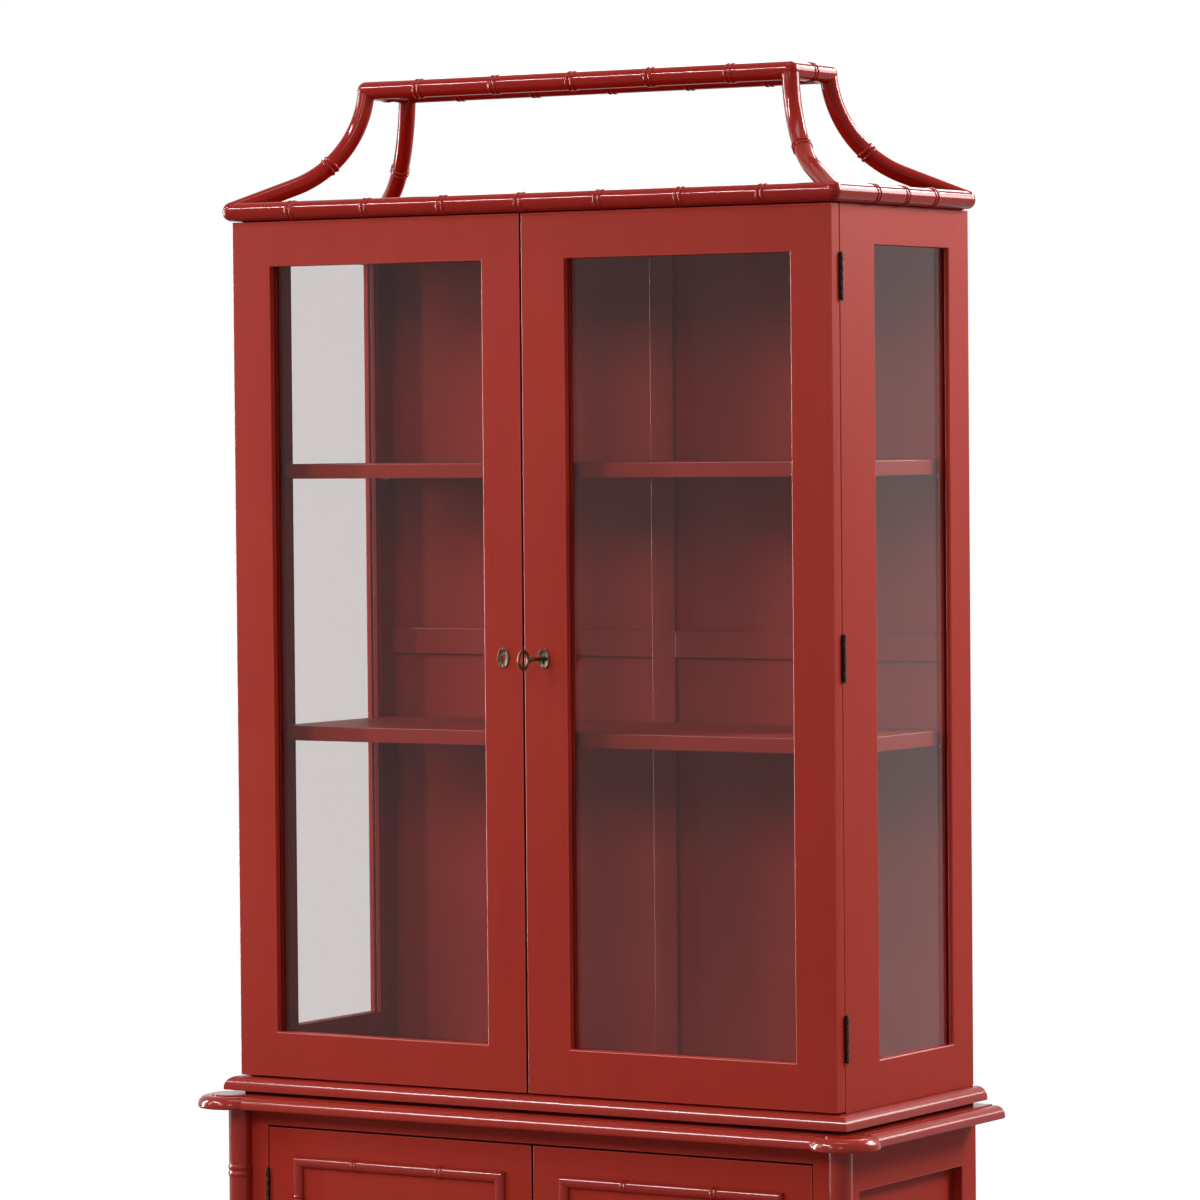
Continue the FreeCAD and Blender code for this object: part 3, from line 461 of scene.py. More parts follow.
class Workpiece:
    """One mesh on the bench, shaped with Blender's own tools."""

    def __init__(self, name: str, body: bpy.types.Object) -> None:
        """Name the object and its mesh after the piece.

        Args:
            name: Name of the piece.
            body: Its object, at the origin, with its place in its mesh.
        """
        self.name = name
        self.body = body
        body.name = name
        body.data.name = name

    @staticmethod
    def clear_bench() -> None:
        """Deselect everything."""
        bpy.ops.object.select_all(action="DESELECT")

    @classmethod
    def adopt(cls, name: str) -> "Workpiece":
        """Take the newest primitive, with its place put into its mesh."""
        bpy.ops.object.transform_apply(location=True, rotation=True, scale=True)
        return cls(name, bpy.context.active_object)

    @classmethod
    def block(cls, name: str, one: Vector, two: Vector) -> "Workpiece":
        """Start from a cube between two opposite corners.

        Args:
            name: Name of the piece.
            one: One corner.
            two: The corner across from it.

        Returns:
            The piece.
        """
        cls.clear_bench()
        bpy.ops.mesh.primitive_cube_add(size=1)
        made = bpy.context.active_object
        made.location = (Vector(one) + Vector(two)) / 2
        made.scale = [abs(a - b) for a, b in zip(one, two)]
        return cls.adopt(name)

    @classmethod
    def round_bar(
        cls, name: str, radius: float, start: Vector, end: Vector, sides: int = 32
    ) -> "Workpiece":
        """Start from a cylinder between two points.

        Args:
            name: Name of the piece.
            radius: Radius of the bar.
            start: Middle of one end.
            end: Middle of the other.
            sides: Number of sides.

        Returns:
            The piece.
        """
        cls.clear_bench()
        start, end = Vector(start), Vector(end)
        bpy.ops.mesh.primitive_cylinder_add(vertices=sides, radius=radius, depth=(end - start).length)
        made = bpy.context.active_object
        made.rotation_mode = "QUATERNION"
        made.rotation_quaternion = (end - start).to_track_quat("Z", "Y")
        made.location = (start + end) / 2
        return cls.adopt(name)

    def activate(self) -> None:
        """Select this piece alone."""
        self.clear_bench()
        self.body.select_set(True)
        bpy.context.view_layer.objects.active = self.body

    @contextmanager
    def editing(self) -> Iterator[None]:
        """Edit mode on this piece, with all of it selected.

        Yields:
            Nothing; what the block does is done in edit mode.
        """
        self.activate()
        bpy.ops.object.mode_set(mode="EDIT")
        bpy.ops.mesh.select_mode(type="FACE")
        bpy.ops.mesh.select_all(action="SELECT")
        yield
        bpy.ops.object.mode_set(mode="OBJECT")

    def pick_faces(self, test: Callable[[Vector, Vector], bool]) -> None:
        """Select faces by a test, in edit mode.

        Args:
            test: Whether a face with a given middle and normal is picked.
        """
        bpy.ops.mesh.select_mode(type="FACE")
        bpy.ops.mesh.select_all(action="DESELECT")
        mesh = bmesh.from_edit_mesh(self.body.data)
        for face in mesh.faces:
            if test(face.calc_center_median(), face.normal):
                face.select_set(True)
        bmesh.update_edit_mesh(self.body.data)

    def pick_edges(self, test: Callable[[Vector, Vector], bool]) -> None:
        """Select edges by a test, in edit mode.

        Args:
            test: Whether an edge with two given ends is picked.
        """
        bpy.ops.mesh.select_mode(type="EDGE")
        bpy.ops.mesh.select_all(action="DESELECT")
        mesh = bmesh.from_edit_mesh(self.body.data)
        for edge in mesh.edges:
            if test(edge.verts[0].co, edge.verts[1].co):
                edge.select_set(True)
        bmesh.update_edit_mesh(self.body.data)

    def saw(self, spot: Vector, normal: Vector) -> None:
        """Saw off what lies on the normal's side of a plane, and close the cut."""
        with self.editing():
            bpy.ops.mesh.bisect(plane_co=spot, plane_no=normal, use_fill=True, clear_outer=True)

    def score(self, spot: Vector, normal: Vector) -> None:
        """Cut edges along a plane, in edit mode."""
        bpy.ops.mesh.select_all(action="SELECT")
        bpy.ops.mesh.bisect(plane_co=spot, plane_no=normal)

    def copy(self, name: str) -> "Workpiece":
        """Copy the piece, with a mesh of its own.

        Args:
            name: Name of the copy.

        Returns:
            The copy.
        """
        self.activate()
        bpy.ops.object.duplicate(linked=False)
        return Workpiece(name, bpy.context.active_object)

    def turn(self, matrix: Matrix) -> "Workpiece":
        """Move and turn the piece, and keep its object at the origin.

        Args:
            matrix: The motion.

        Returns:
            This piece.
        """
        self.activate()
        self.body.matrix_world = matrix
        bpy.ops.object.transform_apply(location=True, rotation=True, scale=True)
        return self

    def finish_with(self, kind: str, settings: Mapping[str, Any]) -> None:
        """Add a modifier and apply it.

        Args:
            kind: Type of the modifier.
            settings: Its properties.
        """
        self.activate()
        modifier = self.body.modifiers.new(kind.lower(), kind)
        for name, value in settings.items():
            setattr(modifier, name, value)
        bpy.ops.object.modifier_apply(modifier=modifier.name)

    def soften(self, width: float, segments: int = 3, angle: float = 40, arris: int = -1) -> None:
        """Round the arrises.

        Args:
            width: Width of the rounding.
            segments: Number of steps in it.
            angle: Edges that turn by less, in degrees, stay.
            arris: Slot of the finish on the rounding, or -1 for that beside it.
        """
        self.finish_with("BEVEL", {
            "width": width,
            "segments": segments,
            "limit_method": "ANGLE",
            "angle_limit": math.radians(angle),
            "material": arris,
        })

    def shade(self, angle: float = 50, even: bool = True) -> None:
        """Shade smoothly across gentle turns, with flat faces left flat.

        Args:
            angle: Turns above this, in degrees, stay sharp.
            even: Whether large faces rule the normals.
        """
        self.activate()
        bpy.ops.object.shade_smooth_by_angle(angle=math.radians(angle))
        if even:
            self.finish_with("WEIGHTED_NORMAL", {"keep_sharp": True})

    def carve(self, cutter: "Workpiece", operation: str = "DIFFERENCE") -> None:
        """Cut another piece out of this one, or join it on, and use the other up."""
        self.finish_with("BOOLEAN", {"operation": operation, "object": cutter.body, "solver": "EXACT"})
        bpy.data.objects.remove(cutter.body)

    def join(self, others: Sequence["Workpiece"]) -> None:
        """Take other pieces into this mesh.

        Args:
            others: Pieces that are used up.
        """
        self.activate()
        for other in others:
            other.body.select_set(True)
        bpy.ops.object.join()

    def mend(self) -> None:
        """Merge doubles and turn all faces outwards."""
        with self.editing():
            bpy.ops.mesh.remove_doubles(threshold=MERGE)
            bpy.ops.mesh.normals_make_consistent(inside=False)

    def coat(self, *finishes: bpy.types.Material) -> None:
        """Give the piece its finishes.

        Args:
            finishes: Finish of each slot, the main one first.
        """
        self.body.data.materials.clear()
        for finish in finishes:
            self.body.data.materials.append(finish)

    def paint_gap_shade(
        self, finish: bpy.types.Material, way: Vector, slant: float = 0.6, reach: float = 0.0012
    ) -> None:
        """Paint shade on the outermost faces that look one way, standing in for the shadow in the gap
        there.

        Args:
            finish: Near-black finish of the painted shade on the edge.
            way: Direction that the edge looks.
            slant: Least share of a face's normal along that way.
            reach: Depth of the edge.
        """
        mesh = self.body.data
        mesh.materials.append(finish)
        edge = max(corner.co.dot(way) for corner in mesh.vertices)
        for face in mesh.polygons:
            if face.normal.dot(way) > slant and face.center.dot(way) > edge - reach:
                face.material_index = len(mesh.materials) - 1

    def hand_over(self, rides: str, slot: Slot, *nodes: str) -> None:
        """Tie the finished piece to the frame.

        Args:
            rides: Body that it moves with.
            slot: Material slot of the record; not used.
            nodes: Nodes that it stands for.
        """
        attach(self.body, rides)
        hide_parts(*nodes)
        LOG.info("%s rides on %s for %s", self.name, rides, ", ".join(nodes))


@dataclass
class Joinery:
    """Boards and frames with softened arrises.

    Args:
        finishes: Finishes of the cabinet.
    """

    finishes: Finishes
    arris_width: float = 0.0016
    fine_arris: float = 0.0007
    mitre_steps: int = 2
    mitre_turn: float = 42
    cane_turn: float = 75
    root: str = "cabinet"

    def board(self, name: str, low: Vector, high: Vector, lined: bool = False) -> Workpiece:
        """A board between two corners, with soft arrises.

        Args:
            name: Name of the piece.
            low: Lowest corner.
            high: Highest corner.
            lined: Whether it has the lining finish, a paler red painted to stand in for more light
                inside the hutch.

        Returns:
            The board.
        """
        made = Workpiece.block(name, low, high)
        self.dress(made, self.arris_width, lined)
        return made

    def dress(self, made: Workpiece, width: float, lined: bool = False) -> None:
        """Soften, lacquer and shade a flat piece.

        Args:
            made: The piece.
            width: Width of its arrises.
            lined: Whether it has the lining finish, a paler red painted to stand in for more light
                inside the hutch.
        """
        # The lining is painted light, a paler red for more light inside the hutch; the arris finish is
        # partly rubbed wear, partly a painted highlight.
        made.coat(self.finishes.lit_lining if lined else self.finishes.satin, self.finishes.arris)
        made.soften(width, arris=ARRIS_SLOT)
        made.shade()

    def dress_cane(self, made: Workpiece, finish: bpy.types.Material, mitre: float) -> None:
        """Lacquer, soften and shade canes that meet in mitres.

        Args:
            made: The canes.
            finish: Their finish.
            mitre: Width of the rounding along the mitres.
        """
        made.coat(finish)
        made.soften(mitre, self.mitre_steps, self.mitre_turn)
        made.shade(self.cane_turn)

    def boards(self, names: Mapping[str, str], lined: bool = False) -> None:
        """Build boards that stand for single nodes.

        Args:
            names: Node of each piece.
            lined: Whether they have the lining finish, a paler red painted to stand in for more light
                inside the hutch.
        """
        for name, node in names.items():
            self.board(name, *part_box(node), lined).hand_over(self.root, Slot.LACQUER, node)

    def group(
        self, name: str, corners: Sequence[tuple[Vector, Vector]], lined: bool = False
    ) -> Workpiece:
        """Several boards in one mesh.

        Args:
            name: Name of the piece.
            corners: Lowest and highest corner of each board.
            lined: Whether they have the lining finish, a paler red painted to stand in for more light
                inside the hutch.

        Returns:
            The boards.
        """
        made = [self.board(f"{name}_{index}", *pair, lined) for index, pair in enumerate(corners)]
        made[0].join(made[1:])
        return Workpiece(name, made[0].body)


@dataclass
class PanelFrame:
    """A frame of stiles and rails round one opening, rebated behind a lip for a pane.

    Args:
        name: Name of the piece.
        low: Lowest corner.
        high: Highest corner.
        open_low: Lowest corner of the opening; only its place in the frame's plane counts.
        open_high: Highest corner of the opening.
        along: Axis of the rails.
        inwards: Direction from the outer face into the frame.
        lip: Depth of the lip in front of the rebate.
        rebate: Width of the rebate, or 0 for a plain frame.
    """

    name: str
    low: Vector
    high: Vector
    open_low: Vector
    open_high: Vector
    along: Axis
    inwards: Vector
    lip: float
    rebate: float

    def build(self) -> Workpiece:
        """Cut the outer face into a ring, then draw the frame back from it.

        Returns:
            The frame.
        """
        made = Workpiece.block(self.name, self.low, self.high)
        with made.editing():
            made.pick_faces(lambda middle, normal: normal.dot(self.inwards) > -FACING)
            bpy.ops.mesh.delete(type="FACE")
            for margin in sorted({0.0, self.rebate}):
                for axis in (self.along, Axis.UP):
                    made.score(self.open_low - axis.way(margin), axis.way())
                    made.score(self.open_high + axis.way(margin), axis.way())
            made.pick_faces(lambda middle, normal: self.within(middle, 0))
            bpy.ops.mesh.delete(type="FACE")
            bpy.ops.mesh.select_all(action="SELECT")
            self.draw(self.lip if self.rebate else self.thickness())
            if self.rebate:
                level = self.depth_of(self.outer()) + self.lip
                made.pick_faces(
                    lambda middle, normal: abs(self.depth_of(middle) - level) < MERGE
                    and not self.within(middle, self.rebate)
                )
                self.draw(self.thickness() - self.lip)
            bpy.ops.mesh.select_all(action="SELECT")
            bpy.ops.mesh.remove_doubles(threshold=MERGE)
            bpy.ops.mesh.normals_make_consistent(inside=False)
        return made

    def draw(self, length: float) -> None:
        """Draw the selected faces inwards."""
        bpy.ops.mesh.extrude_region_move(TRANSFORM_OT_translate={"value": self.inwards * length})

    def outer(self) -> Vector:
        """A corner on the outer face."""
        return self.low if self.inwards.dot(self.high - self.low) > 0 else self.high

    def depth_of(self, spot: Vector) -> float:
        """Place of a point on the way in."""
        return spot.dot(self.inwards)

    def thickness(self) -> float:
        """Thickness of the frame."""
        return abs((self.high - self.low).dot(self.inwards))

    def within(self, spot: Vector, margin: float) -> bool:
        """Whether a point lies in the opening grown by a margin.

        Args:
            spot: The point.
            margin: Growth of the opening on every side.

        Returns:
            Whether it does.
        """
        return all(
            self.open_low[axis.value] - margin < spot[axis.value] < self.open_high[axis.value] + margin
            for axis in (self.along, Axis.UP)
        )


@dataclass(frozen=True)
class Cane:
    """A rod turned like bamboo, with a double ridge at each node.

    Ball ends reach past the rod's length by its radius.
    """

    radius: float
    ridge_height: float = 0.0013
    ridge_width: float = 0.0054
    ridge_gap: float = 0.002
    ease: float = 0.0014
    sides: int = 48
    ridge_steps: int = 8
    ball_ends: bool = False
    ball_steps: int = 12

    def outline(self, length: float, places: Sequence[float], pace: float) -> list[tuple[float, float]]:
        """Points of the rod's outline, from the middle of one end to the middle of the other.

        Args:
            length: Length of the rod.
            places: Places of the nodes along it.
            pace: Greatest step between points.

        Returns:
            Places along the rod with the radius there.
        """
        points = [(-along, height) for along, height in reversed(self.end())]
        for spot in sorted(places):
            reach = self.ridge_gap / 2 + self.ridge_width
            points += self.stretch(points[-1][0], spot - reach - self.ease, pace)
            for start in (spot - reach, spot + self.ridge_gap / 2):
                points += [(start + self.ridge_width * step, height) for step, height in self.ridge()]
            points.append((spot + reach + self.ease, self.radius))
        points += self.stretch(points[-1][0], length, pace)
        points += [(length + along, height) for along, height in self.end()[1:]]
        return points

    def end(self) -> list[tuple[float, float]]:
        """Outline of one end, outwards from the rod's side.

        Returns:
            Places past the end with the radius there.
        """
        if not self.ball_ends:
            return [(0.0, self.radius), (0.0, 0.0)]
        turns = [math.pi / 2 * step / self.ball_steps for step in range(self.ball_steps)]
        dome = [(self.radius * math.sin(turn), self.radius * math.cos(turn)) for turn in turns]
        return dome + [(self.radius, 0.0)]

    def stretch(self, start: float, end: float, pace: float) -> list[tuple[float, float]]:
        """Even steps over a plain stretch, up to its end."""
        count = max(1, math.ceil((end - start) / pace))
        return [(start + (end - start) * step / count, self.radius) for step in range(1, count + 1)]

    def ridge(self) -> Iterator[tuple[float, float]]:
        """One ridge as an arc.

        Yields:
            Share of its width with the radius there.
        """
        curve = (self.ridge_width ** 2 / 4 + self.ridge_height ** 2) / (2 * self.ridge_height)
        for step in range(self.ridge_steps + 1):
            share = step / self.ridge_steps
            offset = (share - 0.5) * self.ridge_width
            rise = math.sqrt(curve ** 2 - offset ** 2) - (curve - self.ridge_height)
            yield share, self.radius + rise

    def turn_rod(
        self, name: str, length: float, places: Sequence[float], pace: float = math.inf
    ) -> Workpiece:
        """Draw the outline above the +X axis and spin it into a rod.

        Args:
            name: Name of the piece.
            length: Length of the rod.
            places: Places of the nodes along it.
            pace: Greatest step between rings.

        Returns:
            The rod, from the origin along +X.
        """
        points = self.outline(length, places, pace)
        Workpiece.clear_bench()
        bpy.ops.mesh.primitive_plane_add(size=self.radius, location=(points[0][0], 0, 0))
        made = Workpiece.adopt(name)
        with made.editing():
            bpy.ops.mesh.merge(type="CENTER")
            bpy.ops.mesh.select_mode(type="VERT")
            bpy.ops.mesh.select_all(action="SELECT")
            for (along, radius), (next_along, next_radius) in zip(points, points[1:]):
                step = (next_along - along, 0, next_radius - radius)
                bpy.ops.mesh.extrude_region_move(TRANSFORM_OT_translate={"value": step})
            bpy.ops.mesh.select_all(action="SELECT")
            bpy.ops.mesh.spin(steps=self.sides, angle=math.tau, center=(0, 0, 0), axis=(1, 0, 0))
        made.mend()
        return made


def spread(count: int, pitch: float) -> list[float]:
    """Places of an even row about its middle."""
    return [(index - (count - 1) / 2) * pitch for index in range(count)]


@dataclass
class CaneRing:
    """Four canes round a rectangle, mitred at its corners.

    Args:
        cane: Section of the canes.
        middle: Middle of the rectangle.
        across: Direction of the first pair of canes.
        upright: Direction of the second pair.
        half_across: Half the rectangle's length across.
        half_upright: Half its length the other way.
        across_places: Nodes of the first pair, from the middle.
        upright_places: Nodes of the second pair.
    """

    cane: Cane
    middle: Vector
    across: Vector
    upright: Vector
    half_across: float
    half_upright: float
    across_places: Sequence[float]
    upright_places: Sequence[float]

    def build(self, name: str) -> list[Workpiece]:
        """Turn one cane of each pair, and place and mitre its copies.

        Args:
            name: First words of the canes' names.

        Returns:
            Canes on the low and high side of the first pair, then of the second.
        """
        canes = []
        for way, out, half, reach, places in (
            (self.across, self.upright, self.half_across, self.half_upright, self.across_places),
            (self.upright, self.across, self.half_upright, self.half_across, self.upright_places),
        ):
            overrun = 0 if self.cane.ball_ends else self.cane.radius * 2
            length = 2 * (half + overrun)
            master = self.cane.turn_rod(name, length, [length / 2 + place for place in places])
            for sign in (-1, 1):
                middle = self.middle + out * reach * sign
                canes.append(self.lay(master.copy(f"{name}_{len(canes)}"), middle, way, length))
            bpy.data.objects.remove(master.body)
        return canes

    def lay(self, made: Workpiece, middle: Vector, way: Vector, length: float) -> Workpiece:
        """Lay a rod along one side and saw its mitres.

        Args:
            made: Rod along +X.
            middle: Middle of the side.
            way: Direction of the side.
            length: Length of the rod.

        Returns:
            The rod.
        """
        turn = Axis.ACROSS.way().rotation_difference(way).to_matrix().to_4x4()
        made.turn(Matrix.Translation(middle - way * length / 2) @ turn)
        normal_axis = self.across.cross(self.upright)
        for across_sign in (-1, 1):
            for upright_sign in (-1, 1):
                out = self.across * across_sign + self.upright * upright_sign
                corner = (
                    self.middle
                    + self.across * self.half_across * across_sign
                    + self.upright * self.half_upright * upright_sign
                )
                offset = (middle - corner).dot(self.across), (middle - corner).dot(self.upright)
                if min(abs(part) for part in offset) > MERGE:
                    continue
                normal = out.cross(normal_axis).normalized()
                if (middle - corner).dot(normal) > 0:
                    normal = -normal
                made.saw(corner, normal)
        return made


@dataclass
class Crown:
    """Cap board, a ring of canes, four bent legs and the ring that they carry.

    Args:
        joinery: Maker of the flat pieces.
    """

    joinery: Joinery
    front_nodes: int = 7
    side_nodes: int = 3
    top_nodes: int = 5
    front_pitch: float = 0.127
    side_pitch: float = 0.0805
    leg_diameter: float = 0.0244
    leg_ridge: float = 0.0018
    foot_rise: float = 0.002
    foot_angle: float = 20.3
    node_angle: float = 41.5
    top_angle: float = 85
    ring_pace: float = 0.006
    bend_steps: int = 48
    mitre_arris: float = 0.0003

    def build(self) -> None:
        """Build and hand over the crown."""
        low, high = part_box("crown_cap_board")
        top_low, top_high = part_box("crown_top_long_rails")
        cane = Cane(high.z - low.z, ball_ends=True)
        middle = Vector(((low.x + high.x) / 2, (low.y + high.y) / 2, high.z))
        side, half_depth = (high.x - low.x) / 2, (high.y - low.y) / 2
        lower = CaneRing(
            cane, middle, Axis.ACROSS.way(), Axis.DEPTH.way(), side, half_depth,
            spread(self.front_nodes, self.front_pitch), spread(self.side_nodes, self.side_pitch),
        ).build("crown_cane")
        top_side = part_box("crown_top_end_rails")[1].x - middle.x - cane.radius - cane.ridge_height
        top_depth = (top_high.y - top_low.y) / 2 - cane.radius - cane.ridge_height
        top_middle = Vector((middle.x, middle.y, (top_low.z + top_high.z) / 2))
        upper = CaneRing(
            cane, top_middle, Axis.ACROSS.way(), Axis.DEPTH.way(), top_side, top_depth,
            spread(self.top_nodes, self.front_pitch), [0.0],
        ).build("crown_top_cane")
        board = self.joinery.board("crown_cap", low, high)
        board.coat(self.joinery.finishes.dull, self.joinery.finishes.dull)
        board.hand_over(self.joinery.root, Slot.LACQUER, "crown_cap_board")
        self.gloss(lower[0], "crown_front_rail")
        self.gloss(lower[1], "crown_rear_rail")
        lower[2].join(lower[3:])
        self.gloss(lower[2], "crown_side_rails")
        upper[0].join(upper[1:2])
        self.gloss(upper[0], "crown_top_long_rails")
        upper[2].join(upper[3:])
        self.gloss(upper[2], "crown_top_end_rails")
        for depth_name, depth_sign in (("front", -1), ("rear", 1)):
            for name, sign in SIDES:
                foot = middle + Vector((side * sign, half_depth * depth_sign, self.foot_rise))
                head = top_middle + Vector((top_side * sign, top_depth * depth_sign, 0))
                leg = self.leg(f"crown_bent_leg_{depth_name}_{name}", foot, head)
                leg.saw(Vector((0, 0, high.z)), Axis.UP.way(-1))
                self.gloss(leg, f"crown_leg_{depth_name}_{name}")

    def gloss(self, made: Workpiece, node: str) -> None:
        """Finish a cane and hand it over."""
        self.joinery.dress_cane(made, self.joinery.finishes.gloss, self.mitre_arris)
        made.hand_over(self.joinery.root, Slot.GLOSS, node)

    def leg(self, name: str, foot: Vector, head: Vector) -> Workpiece:
        """A cane that rises from a ring corner, then bends up to the ring above.

        Args:
            name: Name of the piece.
            foot: Start of the cane, just above a corner of the lower ring.
            head: Corner of the upper ring.

        Returns:
            The bent cane.
        """
        rise = head.z - foot.z
        plan = Vector((head.x - foot.x, head.y - foot.y, 0))
        inwards = plan.normalized()
        up = Axis.UP.way()
        angles = self.foot_angle, self.node_angle, self.top_angle
        low, node, high = (math.radians(angle) for angle in angles)
        low_way = inwards * math.cos(low) + up * math.sin(low)
        high_way = inwards * math.cos(high) + up * math.sin(high)
        turn = high - low
        straight = (plan.length * math.sin(high) - rise * math.cos(high)) / math.sin(turn)
        elbow = foot + low_way * straight
        tangent = (head - elbow).length
        bend_radius = tangent / math.tan(turn / 2)
        bend_start = elbow - low_way * tangent
        handle = bend_radius * math.tan(turn / 4) * 4 / 3
        run = straight - tangent
        length = run + bend_radius * turn
        cane = Cane(self.leg_diameter / 2, self.leg_ridge, ball_ends=True)
        made = cane.turn_rod(name, length, [run + bend_radius * (node - low)], self.ring_pace)
        path = self.path(foot, bend_start, head, low_way * handle, high_way * handle)
        made.finish_with("CURVE", {"object": path, "deform_axis": "POS_X"})
        bpy.data.objects.remove(path)
        made.mend()
        return made

    def path(
        self, foot: Vector, bend: Vector, head: Vector, low_handle: Vector, high_handle: Vector
    ) -> bpy.types.Object:
        """Curve of a leg's middle line: a straight run, then an arc.

        Args:
            foot: Start of the run.
            bend: Start of the arc.
            head: End of the arc.
            low_handle: Handle of the arc at its start.
            high_handle: Handle of the arc at its end.

        Returns:
            The curve.
        """
        Workpiece.clear_bench()
        bpy.ops.curve.primitive_bezier_curve_add()
        made = bpy.context.active_object
        spline = made.data.splines[0]
        spline.bezier_points.add(1)
        spline.resolution_u = self.bend_steps
        made.data.resolution_u = self.bend_steps
        third = (bend - foot) / 3
        spots = foot, bend, head
        befores = third, third, high_handle
        afters = third, low_handle, high_handle
        for point, spot, before, after in zip(spline.bezier_points, spots, befores, afters):
            point.handle_left_type = "FREE"
            point.handle_right_type = "FREE"
            point.co = spot
            point.handle_left = spot - before
            point.handle_right = spot + after
        return made


@dataclass
class Hutch:
    """Case of the hutch: sides with their glass, boards, back and shelves.

    Args:
        joinery: Maker of the flat pieces.
    """

    joinery: Joinery
    rebate: float = 0.008
    glass_play: float = 0.0005
    glass_thickness: float = 0.004
    glass_arris: float = 0.0006
    back_rail_rise: float = 0.584
    back_strip: float = 0.038
    moulding_crest: float = 0.0155
    moulding_width: float = 0.0213
    crest_steps: int = 12
    moulding_arris_steps: int = 2
    moulding_arris_turn: float = 50
    moulding_turn: float = 40
    pin_radius: float = 0.0025
    pin_length: float = 0.02
    pin_sides: int = 20
    pin_turn: float = 60

    def build(self) -> None:
        """Build and hand over the case."""
        self.joinery.boards({
            "hutch_floor": "hutch_bottom_board",
            "hutch_ceiling": "hutch_top_board",
        })
        # Shelves in the lining finish, a paler red painted to stand in for more light inside the hutch.
        self.joinery.boards({
            "display_shelf_lower": "hutch_shelf_lower",
            "display_shelf_upper": "hutch_shelf_upper",
        }, True)
        self.add_foot()
        self.add_sides()
        self.add_back()
        self.add_pins()

    def opening(self, pane: str) -> tuple[Vector, Vector]:
        """Corners of the opening in front of a pane.

        Args:
            pane: Node of the pane.

        Returns:
            The lowest and the highest corner.
        """
        low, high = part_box(pane)
        margin = Vector((1, 1, 1)) * (self.rebate - self.glass_play)
        return low + margin, high - margin

    def add_sides(self) -> None:
        """Both side frames, their panes and their beads."""
        open_low, open_high = self.opening("hutch_side_glass")
        glass_low, glass_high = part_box("hutch_side_glass")
        panes, beads = [], []
        for name, sign in SIDES:
            low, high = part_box(f"hutch_side_{name}")
            outer = high.x if sign > 0 else low.x
            inner = low.x if sign > 0 else high.x
            glass_outer = glass_high.x if sign > 0 else glass_low.x
            lip = abs(outer - glass_outer)
            inwards = Axis.ACROSS.way(-sign)
            side = PanelFrame(
                f"hutch_side_frame_{name}", low, high, open_low, open_high, Axis.DEPTH,
                inwards, lip, self.rebate,
            ).build()
            self.joinery.dress(side, self.joinery.arris_width)
            side.hand_over(self.joinery.root, Slot.LACQUER, f"hutch_side_{name}")
            bead_outer = glass_outer - self.glass_thickness * sign
            panes.append(self.pane(
                f"side_pane_{name}",
                Vector((glass_outer, glass_low.y, glass_low.z)),
                Vector((bead_outer, glass_high.y, glass_high.z)),
            ))
            beads.append(self.bead_ring(
                f"side_bead_{name}", open_low, open_high, Axis.DEPTH, inwards, bead_outer, inner
            ))
        panes[0].join(panes[1:])
        panes[0].hand_over(self.joinery.root, Slot.GLASS, "hutch_side_glass")
        beads[0].join(beads[1:])
        beads[0].hand_over(self.joinery.root, Slot.LACQUER, "hutch_side_beads")

    def pane(self, name: str, low: Vector, high: Vector) -> Workpiece:
        """A pane with its arrises taken off.

        Args:
            name: Name of the piece.
            low: One corner.
            high: The corner across from it.

        Returns:
            The pane.
        """
        made = Workpiece.block(name, low, high)
        made.coat(self.joinery.finishes.glass)
        made.soften(self.glass_arris, segments=1)
        made.shade()
        return made

    def bead_ring(
        self, name: str, open_low: Vector, open_high: Vector, along: Axis, inwards: Vector,
        start: float, end: float,
    ) -> Workpiece:
        """Beads round an opening, behind its pane.

        Args:
            name: Name of the piece.
            open_low: Lowest corner of the opening.
            open_high: Highest corner of the opening.
            along: Axis of the rails.
            inwards: Direction into the frame.
            start: Place of the pane's back.
            end: Place of the frame's back.

        Returns:
            The beads.
        """
        depth = 1 - along.value
        low, high = open_low.copy(), open_high.copy()
        for axis in (along.value, Axis.UP.value):
            low[axis] -= self.rebate
            high[axis] += self.rebate
        low[depth], high[depth] = min(start, end), max(start, end)
        made = PanelFrame(name, low, high, open_low, open_high, along, inwards, 0, 0).build()
        self.joinery.dress(made, self.joinery.fine_arris)
        return made

    def add_back(self) -> None:
        """Four back panels, and the strips over their joints."""
        low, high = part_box("hutch_back_panels")
        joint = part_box("hutch_door_left_frame")[0].z + self.back_rail_rise + self.back_strip / 2
        corners = []
        for x_low, x_high in ((low.x, 0), (0, high.x)):
            for z_low, z_high in ((low.z, joint), (joint, high.z)):
                corners.append((Vector((x_low, low.y, z_low)), Vector((x_high, high.y, z_high))))
        # Back panels and strips in the lining finish, a paler red painted to stand in for more light
        # inside the hutch.
        panels = self.joinery.group("hutch_back", corners, True)
        panels.hand_over(self.joinery.root, Slot.LACQUER, "hutch_back_panels")
        low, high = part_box("hutch_back_strips")
        edge = self.back_strip / 2
        rail_low, rail_high = joint - edge, joint + edge
        strips = self.joinery.group("hutch_back_mullion", [
            (Vector((-edge, low.y, low.z)), Vector((edge, high.y, high.z))),
            (Vector((low.x, low.y, rail_low)), Vector((-edge, high.y, rail_high))),
            (Vector((edge, low.y, rail_low)), Vector((high.x, high.y, rail_high))),
        ], True)
        strips.hand_over(self.joinery.root, Slot.LACQUER, "hutch_back_strips")

